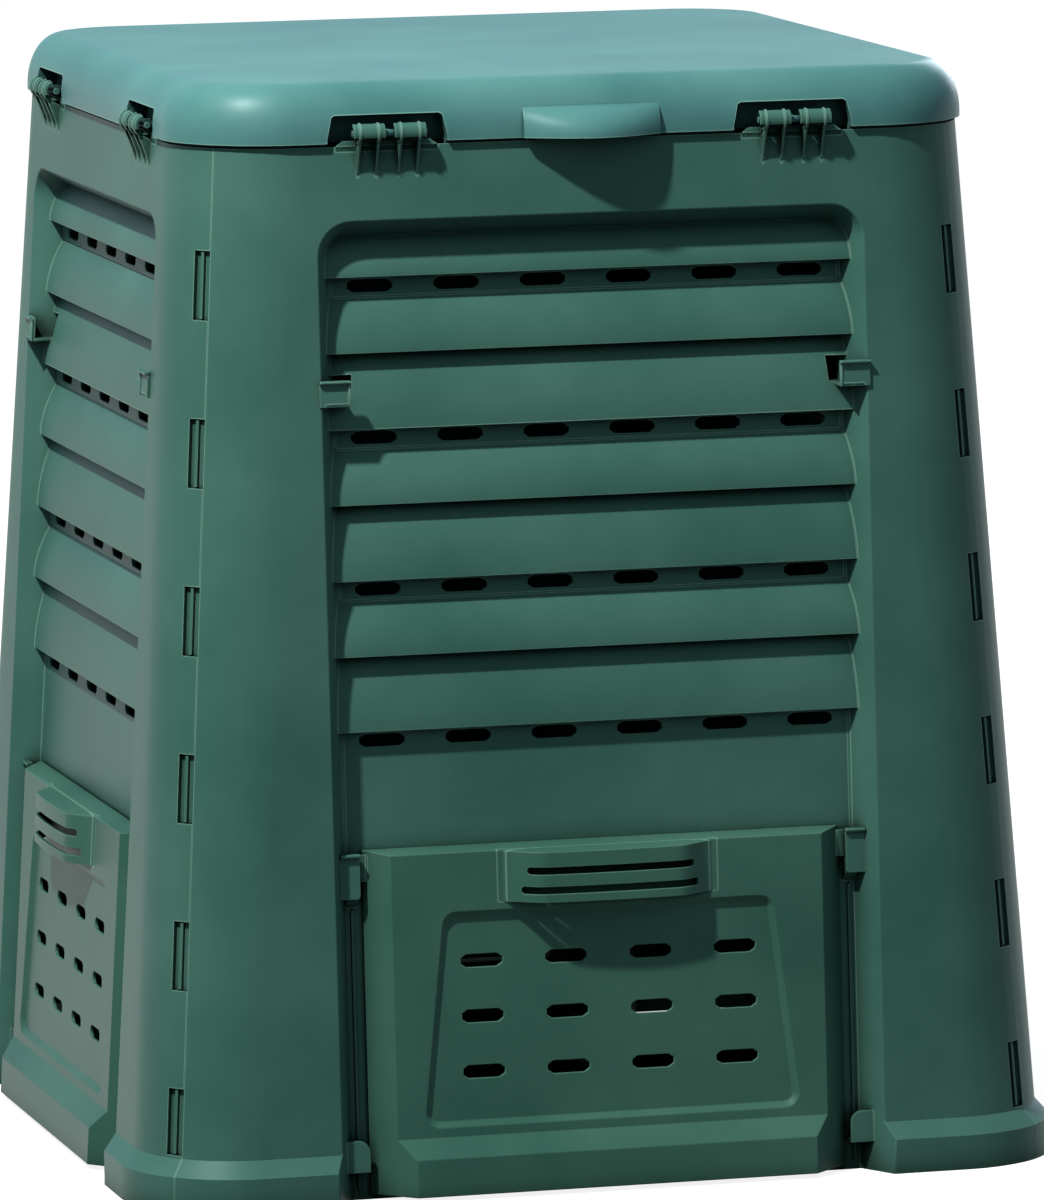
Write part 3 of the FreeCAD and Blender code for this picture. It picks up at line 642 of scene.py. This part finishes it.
    def clip_section(self, outer: float, low: float = -90.0) -> list[Pair]:
        """Section of a C-shaped clip from its side.

        Args:
            outer: Radius of its outer surface.
            low: Angle where it starts; from below it, the section runs into the wall.

        Returns:
            Pairs of distance out of the middle of the bin and height, closed.
        """
        axis, open_at = (WALL.half(self.clip_z) + self.clip_out, self.clip_z), 80.0
        out = arc(axis, outer, low, open_at, 16) + arc(axis, self.clip_r, open_at, low, 14)
        root = WALL.half(self.clip_z - 11.0) - 1.2
        ends = [(root, self.clip_z - self.clip_r - 3.0), (root, self.clip_z - outer - 3.6)]
        return out if low > -90.0 else out + ends

    def rib(self, section: Sequence[Pair], x: float, wide: float, edge: float) -> None:
        """Extrude a section of a clip along the wall."""
        near, far = ([Vector((u, -y, z)) for y, z in section] for u in (x, x + wide))
        self.work.add(prism(far, near), edge=edge)

    def build_clips(self) -> None:
        """Make the pairs of lid clips with their ridges, gussets and the rise behind them."""
        ridge, foot, end = 2.0, 768.0, 756.0
        outer, out = self.clip_r + self.clip_t, WALL.half(self.clip_z) + self.clip_out
        gusset = [(WALL.half(self.clip_z) - 1.2, self.clip_z - 7.0), (out + 4.6, self.clip_z - 7.0),
                  (WALL.half(foot) + 3.6, foot), (WALL.half(end) - 1.0, end)]
        for middle in (-self.clip_at, self.clip_at):
            for side in (-1, 1):
                x = middle + side * (self.clip_gap + self.clip_long) / 2.0 - self.clip_long / 2.0
                self.rib(self.clip_section(outer, -25.0), x, self.clip_long, 0.6)
                for at in (x + 4.0, x + self.clip_long - 6.0):
                    self.rib(self.clip_section(outer + 0.9), at, ridge, 0.4)
                    self.rib(gusset, at, ridge, 0.4)
            a, b, low, high = 39.0, 33.0, self.top - 4.0, self.top + 4.0
            rise = [(middle - a, low), (middle + a, low), (middle + a, self.top), (middle + b, high),
                    (middle - b, high), (middle - a, self.top)]
            self.work.add(slab(rise, -self.skin, 0.0), edge=0.6)

    def build(self, finish: bpy.types.Material) -> None:
        """Make the panel once and stand it on all four sides.

        Args:
            finish: The material of the walls.
        """
        self.build_face()
        self.build_louvres()
        self.build_hooks()
        self.build_joint()
        self.build_clips()
        for side in Side:
            show(self.work.mesh("panel_" + side.word, side), "bin", "wall_" + side.word, finish)


@dataclass
class HatchDoor:
    """The hatch door: a pan with slanted sides, a sunk slotted field and a bowed handle."""

    back_half: float = 184.0  # half width at the back of the slanted sides
    face_half: float = 166.0  # half width at their front
    back: float = -19.6  # depths are counted outwards from the wall's face
    face: float = -3.0
    foot_out: float = 8.0  # depth of the foot's front
    skin: float = 2.8
    top: float = 257.0
    bend: float = 46.0  # height where the face bends out to the foot
    bend_low: float = 32.0  # height where the foot turns upright
    foot: float = 4.0
    field_top: float = 213.0
    field_low: float = 53.0
    field_wide: Pair = (144.0, 128.0)  # half width of the sunk field below and above
    field_deep: float = 3.6
    field_draft: float = 4.2  # how far the field narrows over its depth
    field_r: float = 11.0
    slot_rows: tuple[float, ...] = (93.0, 134.3, 175.5)  # heights of the rows
    slots: int = 4  # in a row
    slot_pitch: float = 65.1
    slot_size: Pair = (32.0, 9.6)  # length and height
    slot_edge: float = 12.0  # taken off the slots' block at its ends, and left above and below its rows
    grip_half: float = 85.0
    grip_out: float = 18.5  # how far the hood stands off the face
    grip_blend: float = 34.0  # width of its run-out at each end
    grip_low: float = 218.5
    grip_slots: tuple[Pair, ...] = ((227.5, 68.3), (242.0, 64.3))  # height and half length of each slot
    grip_slot_high: float = 5.2
    ear_in: float = 179.5  # the ears lie beside the slanted sides
    ear_out: float = 194.5
    ear_low: float = 236.0
    ear_t: float = 3.0
    work: Draft = field(default_factory=Draft)

    def half(self, n: float) -> float:
        """Half width between the slanted sides at a depth."""
        return self.back_half - (n - self.back) * (self.back_half - self.face_half) / (self.face - self.back)

    def build_pan(self) -> None:
        """Make the skin: sides, top, face, foot and the sunk field with its slots."""
        d, (below, above), rows, w = self.field_draft, self.field_wide, self.slot_rows, self.half(self.face)
        upper = round_sides((below, self.field_low), (above, self.field_top), self.field_r)
        lower = round_sides((below - d, self.field_low + d), (above - d, self.field_top - d), self.field_r - d)
        face, deep = Plate(self.face), Plate(self.face - self.field_deep)
        face.between(box_sides([-w, w], [self.bend, self.top]), upper)
        across = [(k - self.slots / 2.0) * self.slot_pitch for k in range(self.slots + 1)]
        across[0], across[-1] = across[0] + self.slot_edge, across[-1] - self.slot_edge
        up = [rows[0] - self.slot_edge, *((p + q) / 2.0 for p, q in zip(rows, rows[1:])), rows[-1] + self.slot_edge]
        deep.cells(across, up, rows, self.slot_size)
        deep.between(lower, box_sides(across, up))
        shell = face.shell
        join(shell, deep.shell)
        for far, near in zip(upper, lower):
            join(shell, grid([[WALL.at(u, z, face.depth) for u, z in far],
                              [WALL.at(u, z, deep.depth) for u, z in near]]))
        # down the front: top, face, slope and foot, of which the face is made already
        front = [(self.top + 3.0, self.back), (self.top, self.face), (self.bend, self.face),
                 (self.bend_low, self.foot_out), (self.foot, self.foot_out)]
        for pair in (front[0:2], front[2:4], front[3:5]):
            join(shell, grid([[WALL.at(sign * self.half(n), z, n) for sign in (-1, 1)] for z, n in pair]))
        for sign in (-1, 1):
            join(shell, grid([[WALL.at(sign * self.half(n), z, n) for z, n in front],
                              [WALL.at(sign * self.half(self.back), z, self.back) for z, _ in front]]))
        self.work.add(shell, wall=self.skin, edge=0.9, rounds=3, limit=28.0)

    def swell(self, u: float) -> float:
        """How far the hood stands off the door's face, running out smoothly at both ends."""
        t = min(1.0, (self.grip_half - abs(u)) / self.grip_blend)
        return self.grip_out * t * t * (3.0 - 2.0 * t) * (1.0 - 0.3 * (u / self.grip_half) ** 2)

    def build_handle(self) -> None:
        """Make the bell-shaped hood with its two long slots."""
        h, root, parts = self.grip_slot_high / 2.0, self.face - 0.6, 24
        # the slots' ends are rounded by columns close to them
        ends = {sign * (half + step) for _, half in self.grip_slots for step in (-2.4, -0.9, 0.0, 2.4)
                for sign in (-1, 1)}
        plain = {self.grip_half * i / parts for i in range(-parts, parts + 1)}
        turns = sorted(ends | {u for u in plain if min(abs(u - e) for e in ends) > 1.1})

        def narrow(near: float) -> float:
            """Share of a slot's height at a distance from its end."""
            return 0.45 if near < 0.1 else 0.85 if near < 1.0 else 1.0

        def stays(i: int, j: int) -> bool:
            """Whether a face of the hood isn't in a slot."""
            return i not in (1, 3) or abs(turns[j] + turns[j + 1]) / 2.0 > self.grip_slots[i // 2][1]

        lines = [(self.grip_low, 0.0, 0.0), *((z, half, rise) for z, half in self.grip_slots for rise in (-h, h)),
                 (self.top - 1.0, 0.0, 0.0)]
        rows = [[WALL.at(u, z + rise * narrow(abs(abs(u) - half)), root + self.swell(u)) for u in turns]
                for z, half, rise in lines]
        rows.append([WALL.at(u, self.top + 0.6, self.face - 1.4) for u in turns])
        self.work.add(grid(rows, stays), wall=self.skin, edge=1.1, rounds=3, limit=34.0)

    def build(self, finish: bpy.types.Material) -> None:
        """Make the door once and hang it on all four sides.

        Args:
            finish: The material of the doors.
        """
        self.build_pan()
        self.build_handle()
        near, blunt = self.back + 0.1, self.ear_out - 2.0
        ring = [(self.ear_in, self.ear_low + 0.5), (blunt, self.ear_low), (self.ear_out, self.ear_low + 2.0),
                (self.ear_out, self.top - 2.5), (blunt, self.top - 0.5), (self.ear_in, self.top - 0.5)]
        for sign in (-1.0, 1.0):
            self.work.add(slab(ring, near, near + self.ear_t, sign), edge=0.6, limit=40.0)
        for side in Side:
            name = "hatch_" + side.word
            show(self.work.mesh(name, side), name, "door_" + side.word, finish)


@dataclass
class Lid:
    """The lid: a shallow tray upside down, with clip pockets, hinge rods and a finger grip."""

    half: float = 307.0
    corner: float = 84.0
    low: float = 782.5
    top: float = 826.0
    roll: float = 27.0  # width of the rounding between side and top
    fall: float = 39.0  # height of that rounding
    skin: float = 3.0
    # section of the ledge and the locating ring inside, as half widths and heights
    collar: tuple[Pair, ...] = ((306.0, 782.5), (306.0, 785.5), (296.0, 785.5), (296.0, 772.3), (299.0, 772.3),
                                (299.0, 780.3), (300.2, 780.3), (300.2, 782.5))
    pocket_at: float = 155.0  # middle of a clip pocket along the side
    pocket_half: float = 45.5
    pocket_taper: float = 5.5  # how much narrower it is at the top
    pocket_top: float = 803.0
    pocket_back: float = 290.75  # its back wall's distance from the lid's middle
    rod_r: float = 2.5
    rod_out: float = 306.75  # the hinge rods' distance from the lid's middle
    rod_z: float = 789.5
    rod_half: float = 27.0
    grip_half: float = 52.0
    grip_out: float = 24.0  # how far the grip stands out in its middle
    grip_step: float = 4.0  # how far it stands out at its ends
    grip_high: float = 22.5

    def loop(self, half: float, z: float) -> list[Vector]:
        """Rounded square at a height, its corner radius shrinking with its size.

        Args:
            half: Half width.
            z: Height.

        Returns:
            The points, anticlockwise.
        """
        r = max(self.corner - (self.half - half), 0.2)
        f, steps = half - r, 20
        side = [Vector((-f + 2.0 * f * i / steps, -half, z)) for i in range(steps)]
        bend = [Vector((f + r * sin(a), -f - r * cos(a), z)) for a in sweep(0.0, 90.0, 16)[:-1]]
        return [spin @ p for spin in (s.spin for s in Side) for p in side + bend]

    def form(self, inset: float, low: float) -> Shell:
        """The lid as a closed block, set in all round.

        Args:
            inset: How far it is set in.
            low: Height of its lower face.

        Returns:
            The block.
        """
        deep, tall = self.roll - inset, self.fall - inset
        rows = [(self.half - inset, low)]
        rows += [(self.half - inset - deep * (1.0 - cos(a)), self.top - inset - tall * (1.0 - sin(a)))
                 for a in sweep(0.0, 90.0, 12)]
        rows += [(self.half * k, rows[-1][1]) for k in (0.8, 0.6)]
        return capped([self.loop(half, z) for half, z in rows])

    def pocket(self, grow: float, back: float) -> Shell:
        """All eight clip pockets as blocks.

        Args:
            grow: How much wider they are than the real ones.
            back: Distance of their back wall from the middle.

        Returns:
            The blocks.
        """
        low, high, bend = self.low - 60.0, self.pocket_top + grow, self.low + 4.0
        a = self.pocket_half + grow
        b = a - self.pocket_taper
        shell: Shell = ([], [])
        for side in Side:
            for mid in (-self.pocket_at, self.pocket_at):
                ring = [(mid - a, low), (mid + a, low), (mid + a, bend), (mid + b + 2.0, high - 1.5),
                        (mid + b - 0.5, high), (mid - b + 0.5, high), (mid - b - 2.0, high - 1.5), (mid - a, bend)]
                join(shell, prism(*([side.spin @ Vector((u, y, z)) for u, z in ring] for y in (-back, -back - 60.0))))
        return shell

    def grip(self, inset: float, low: float) -> Shell:
        """The bowed finger grip as a block that carries the lid's rolled edge outwards.

        Args:
            inset: How far it is set in.
            low: Height of its lower face.

        Returns:
            The block.
        """
        w, sunk, parts = self.grip_half - inset * 1.6, 1.5, 20
        rows: list[list[Vector]] = []
        # full at the lid's lower edge, the bulge rounds over and dives into the lid's own rounded edge
        for turn in sweep(0.0, 90.0, 12):
            z = self.low + (self.grip_high - inset) * sin(turn) if turn else low
            edge = asin(max(0.0, 1.0 - (self.top - inset - z) / (self.fall - inset)))
            side = self.half - inset - (self.roll - inset) * (1.0 - cos(edge)) - sunk
            bow = []
            for t in (i / parts for i in range(-parts, parts + 1)):
                out = self.grip_step + (self.grip_out - self.grip_step) * (0.5 + 0.5 * cos(pi * t)) ** 0.5
                bow.append(Vector((w * t, -(side + (out + sunk) * cos(turn)), z)))
            deep = -(side - 6.5 - inset)
            rows.append([Vector((-w, deep, z)), *bow, Vector((w, deep, z))])
        return capped(rows)

    def rods(self) -> list[Shell]:
        """The hinge rods, each on an arm between its two clips."""
        y, z, root = -self.rod_out, self.rod_z, 1.5 - self.pocket_back
        rod = arc((y, z), self.rod_r, 0.0, 345.0, 23)
        arm = [(y, z - 1.1), (y, z + 2.2), (root, z + 3.5), (root, z - 1.1)]
        return [prism(*([side.spin @ Vector((mid + sign * half, *p)) for p in ring] for sign in (-1, 1)))
                for side in Side for mid in (-self.pocket_at, self.pocket_at)
                for ring, half in ((rod, self.rod_half), (arm, 2.4))]

    def build(self, finish: bpy.types.Material) -> None:
        """Make the lid.

        Args:
            finish: The material of the lid.
        """
        body = solid("lid", self.form(0.0, self.low))
        grip = solid("grip", self.grip(0.0, self.low))
        # the inside of the tray, which leaves walls round the pockets and under the grip
        cavity = solid("cavity", self.form(self.skin, self.low - 5.0))
        combine(cavity, solid("walls", self.pocket(self.skin, self.pocket_back - self.skin)), Way.DIFFERENCE)
        combine(cavity, solid("grip_copy", self.grip(0.0, self.low - 9.0)), Way.DIFFERENCE)
        combine(body, grip, Way.UNION)
        combine(body, cavity, Way.DIFFERENCE)
        collar = grid([self.loop(half, z) for half, z in (*self.collar, self.collar[0])], loop=True)
        combine(body, solid("collar", collar), Way.UNION)
        combine(body, solid("hollow", self.grip(self.skin, self.low - 12.0)), Way.DIFFERENCE)
        combine(body, solid("pockets", self.pocket(0.0, self.pocket_back)), Way.DIFFERENCE)
        draft = Draft()
        draft.take(body, 0.7, 2, 34.0)
        for rod in self.rods():
            draft.add(rod, edge=0.4, limit=50.0)
        show(draft.mesh("lid_shell"), "lid", "lid", finish)


@dataclass
class Nodes:
    """A node tree that is written one node at a time."""

    tree: bpy.types.NodeTree

    def add(self, kind: str, links: dict[str | int, bpy.types.NodeSocket | float | tuple[float, ...]] | None = None,
            **settings: str | bool | int) -> bpy.types.NodeOutputs:
        """Add a shader node with its settings, values and links.

        Args:
            kind: Type of the node.
            links: For each input a socket to link from or a plain value.
            settings: Attributes of the node.

        Returns:
            The node's outputs.
        """
        node = self.tree.nodes.new("ShaderNode" + kind)
        for name, value in settings.items():
            setattr(node, name, value)
        for name, value in (links or {}).items():
            if isinstance(value, bpy.types.NodeSocket):
                self.tree.links.new(value, node.inputs[name])
            else:
                node.inputs[name].default_value = value
        return node.outputs


@dataclass(frozen=True)
class Polypropylene:
    """Injection-moulded polypropylene with a fine spark-eroded grain, aged a season outdoors, with painted shade in
    its crevices and painted highlights on its edges.
    """

    name: str
    body: str  # the pigmented plastic
    pale: str  # where sun has bleached it and dust has settled
    rough: float = 0.44  # of the grained surface
    level: float = 0.13  # specular level, lowered by the pits of the grain
    sheen: str = "C6E4EA"  # tint of the gloss, a pale blue that paints the sky's colour into every reflection
    grain_mm: float = 0.9  # size of the grain
    cloud_mm: float = 140.0  # size of the blotches from uneven wetting and dust
    rim_highlight: str = "86B0A6"  # pale rims painted along the edges as highlights, which also read as rubbing
    edge_mm: float = 1.3  # distance from an edge within which the pale rim is painted
    shade_and_dirt: str = "0B120F"  # painted shade in the crevices, with damp dirt there too
    gap_mm: float = 35.0  # width of the gaps that the painted shade and dirt darken

    def make(self) -> bpy.types.Material:
        """Write the material.

        Returns:
            The material.
        """
        out = bpy.data.materials.new(self.name)
        out.use_nodes = True
        nodes, link = Nodes(out.node_tree), out.node_tree.links.new
        shader = out.node_tree.nodes["Principled BSDF"].inputs
        place = nodes.add("TexCoord")["Object"]
        # sun and dust leave soft pale blotches, which are a little rougher too
        cloud = nodes.add("TexNoise", {"Vector": place, "Scale": 1000.0 / self.cloud_mm, "Detail": 5.0,
                                       "Roughness": 0.55})["Fac"]
        pale = nodes.add("MapRange", {"Value": cloud, "From Min": 0.35, "From Max": 0.75, "To Max": 0.3})["Result"]
        tint = nodes.add("Mix", {0: pale, 6: linear(self.body), 7: linear(self.pale)}, data_type="RGBA")[2]
        sheen = nodes.add("MapRange", {"Value": cloud, "To Min": self.rough - 0.06, "To Max": self.rough + 0.08})
        link(sheen["Result"], shader["Roughness"])
        # painted highlight: pale rims along the edges, which also read as rubbing; where another skin lies right
        # behind, no rim is painted
        edge = nodes.add("AmbientOcclusion", {"Distance": self.edge_mm * MM},
                         inside=True, only_local=True, samples=8)["AO"]
        thin = nodes.add("MapRange", {"Value": edge, "From Min": 0.28, "From Max": 0.42, "To Max": 0.36})
        free = nodes.add("MapRange", {"Value": edge, "From Min": 0.55, "From Max": 0.85, "To Min": 1.0, "To Max": 0.0})
        rim_highlight = nodes.add("Math", {0: thin["Result"], 1: free["Result"]}, operation="MULTIPLY")[0]
        rimmed_tint = nodes.add("Mix", {0: rim_highlight, 6: tint, 7: linear(self.rim_highlight)}, data_type="RGBA")[2]
        # painted shade, with some dirt: the crevices are darkened nearly to black and lose their gloss
        gap = nodes.add("AmbientOcclusion", {"Distance": self.gap_mm * MM}, samples=8)["AO"]
        unshaded = nodes.add("MapRange", {"Value": gap, "From Min": 0.3, "From Max": 0.8, "To Min": 0.06})["Result"]
        shaded_tint = nodes.add("Mix", {0: unshaded, 6: linear(self.shade_and_dirt), 7: rimmed_tint}, data_type="RGBA")[2]
        link(shaded_tint, shader["Base Color"])
        link(nodes.add("Math", {0: unshaded, 1: self.level}, operation="MULTIPLY")[0], shader["Specular IOR Level"])
        grain = nodes.add("TexNoise", {"Vector": place, "Scale": 1000.0 / self.grain_mm, "Detail": 2.0})["Fac"]
        bump = nodes.add("Bump", {"Strength": 0.12, "Distance": 0.0004, "Height": grain})
        link(bump["Normal"], shader["Normal"])
        shader["IOR"].default_value = 1.49
        shader["Metallic"].default_value = 0.0
        # the pale blue tint of the gloss is a painted reflection of the sky
        shader["Specular Tint"].default_value = linear(self.sheen)
        return out


@dataclass
class Studio:
    """Pale floor, a white backdrop under a pale blue ceiling, and soft light from the upper left."""

    ceiling: str = "B9E4F6"  # above the backdrop
    fill: str = "D3DEDF"  # the light from all round
    fill_strength: float = 0.68
    paper: str = "2C312D"  # the floor, as the light finds it
    inner: float = 0.33  # half width of the ground inside the bin, in metres

    def seen(self, nodes: Nodes) -> bpy.types.NodeSocket:
        """Whether a ray comes from the camera, a glossy surface or glass.

        Args:
            nodes: The tree that asks.

        Returns:
            A socket that is 1 where it does and otherwise 0.
        """
        path = nodes.add("LightPath")
        either = path["Is Camera Ray"]
        for other in ("Is Glossy Ray", "Is Transmission Ray"):
            either = nodes.add("Math", {0: either, 1: path[other]}, operation="MAXIMUM")[0]
        return either

    def world(self) -> None:
        """White round the object and blue above it where it is looked at, dimmer as a light."""
        world = bpy.data.worlds.new("room")
        bpy.context.scene.world = world
        world.use_nodes = True
        world.node_tree.nodes.clear()
        nodes = Nodes(world.node_tree)
        height = nodes.add("SeparateXYZ", {0: nodes.add("TexCoord")["Generated"]})["Z"]
        rise = nodes.add("MapRange", {"Value": height, "From Max": 0.14})["Result"]
        tint = nodes.add("Mix", {0: rise, 6: linear("FFFFFF"), 7: linear(self.ceiling)}, data_type="RGBA")[2]
        room = nodes.add("Background", {"Color": tint})[0]
        light = nodes.add("Background", {"Color": linear(self.fill), "Strength": self.fill_strength})[0]
        nodes.add("OutputWorld", {0: nodes.add("MixShader", {0: self.seen(nodes), 1: light, 2: room})[0]})

    def floor(self) -> None:
        """Large floor that looks white, keeps the bin's shadow and throws little light back up."""
        mesh, far = bpy.data.meshes.new("floor"), 45.0
        mesh.from_pydata([(-far, -far, 0.0), (far, -far, 0.0), (far, far, 0.0), (-far, far, 0.0)], [], [(0, 1, 2, 3)])
        finish = bpy.data.materials.new("matt_backdrop_paper")
        finish.use_nodes = True
        finish.node_tree.nodes.clear()
        nodes = Nodes(finish.node_tree)
        matt = nodes.add("BsdfDiffuse", {"Color": linear(self.paper)})[0]
        pale = nodes.add("BsdfDiffuse", {"Color": (0.3, 0.3, 0.3, 1.0)})[0]
        lift = nodes.add("Emission", {"Color": linear("FFFFFF"), "Strength": 0.86})[0]
        shown = nodes.add("AddShader", {0: pale, 1: lift})[0]
        # the ground inside the bin stays dark, as the compost there is
        spot = nodes.add("SeparateXYZ", {0: nodes.add("TexCoord")["Object"]})
        wide = [nodes.add("Math", {0: spot[axis]}, operation="ABSOLUTE")[0] for axis in "XY"]
        away = nodes.add("Math", {0: wide[0], 1: wide[1]}, operation="MAXIMUM")[0]
        outside = nodes.add("Math", {0: away, 1: self.inner}, operation="GREATER_THAN")[0]
        both = nodes.add("Math", {0: outside, 1: self.seen(nodes)}, operation="MULTIPLY")[0]
        nodes.add("OutputMaterial", {"Surface": nodes.add("MixShader", {0: both, 1: matt, 2: shown})[0]})
        mesh.materials.append(finish)
        placed("floor", mesh)

    def lamp(self, name: str, place: Point, size: float, watts: float, colour: str) -> None:
        """Add a soft lamp that looks at the middle of the bin.

        Args:
            name: Its name.
            place: Where it stands, in metres.
            size: Side of the lamp, in metres.
            watts: Its power.
            colour: Its colour.
        """
        data = bpy.data.lights.new(name, "AREA")
        data.shape, data.size, data.energy, data.color = "SQUARE", size, watts, linear(colour)[:3]
        lamp = placed(name, data)
        lamp.location = place
        lamp.rotation_euler = (Vector((0.0, 0.0, 0.4)) - Vector(place)).to_track_quat("-Z", "Y").to_euler()

    def build(self) -> None:
        """Set the stage."""
        self.world()
        self.floor()
        self.lamp("key", (-1.63, -1.28, 3.2), 0.13, 250.0, "FFF6EC")
        self.lamp("back_fill", (2.6, 3.4, 1.7), 1.6, 70.0, "EAF4FF")
        bpy.context.scene.view_settings.view_transform = "Standard"


@dataclass
class Viewpoint:
    """The camera at the photograph's view."""

    yaw: float = 15.07  # angles in degrees
    pitch: float = 7.88
    roll: float = -0.58
    distance: float = 7717.0  # from the point that it looks at
    side: float = 25.2  # how far that point lies to the right of the bin's axis
    height: float = 396.2  # height of that point
    lens: float = 300.0

    def place(self) -> None:
        """Make the camera and look at the bin."""
        yaw, pitch, roll = (radians(a) for a in (self.yaw, self.pitch, self.roll))
        ahead = Vector((sin(yaw) * cos(pitch), cos(yaw) * cos(pitch), -sin(pitch)))
        right = Vector((cos(yaw), -sin(yaw), 0.0))
        above = right.cross(ahead)
        spot = (Vector((0.0, 0.0, self.height)) + right * self.side - ahead * self.distance) * MM
        data = bpy.data.cameras.new("photo_view")
        data.lens, data.sensor_width, data.sensor_fit, data.clip_end = self.lens, 36.0, "AUTO", 100.0
        camera = placed("photo_view", data)
        turn = Matrix((right, above, -ahead)).transposed() @ Matrix.Rotation(roll, 3, "Z")
        camera.matrix_world = Matrix.Translation(spot) @ turn.to_4x4()
        bpy.context.scene.camera = camera


def main() -> None:
    """Build the bin piece by piece on its stage."""
    logging.basicConfig(level=logging.INFO, format="%(message)s")
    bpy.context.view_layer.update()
    Studio().build()
    Viewpoint().place()
    # Dark green that a season outdoors has greyed a little in blotches
    walls = Polypropylene("polypropylene_moulded_wall", "2A4E47", "50766F").make()
    # A little deeper than the walls, in both body and pale colour
    doors = Polypropylene("polypropylene_moulded_door", "274A41", "4B7067").make()
    # Smoother, as rain polishes the top; its body is bluer and paler than the walls', a painted reflection of the sky
    # that its top mirrors
    cover = Polypropylene("polypropylene_moulded_lid", "325D5E", "5E8C8B", rough=0.4, level=0.22).make()
    WallPanel().build(walls)
    HatchDoor().build(doors)
    Lid().build(cover)


if __name__ == "__main__":
    main()
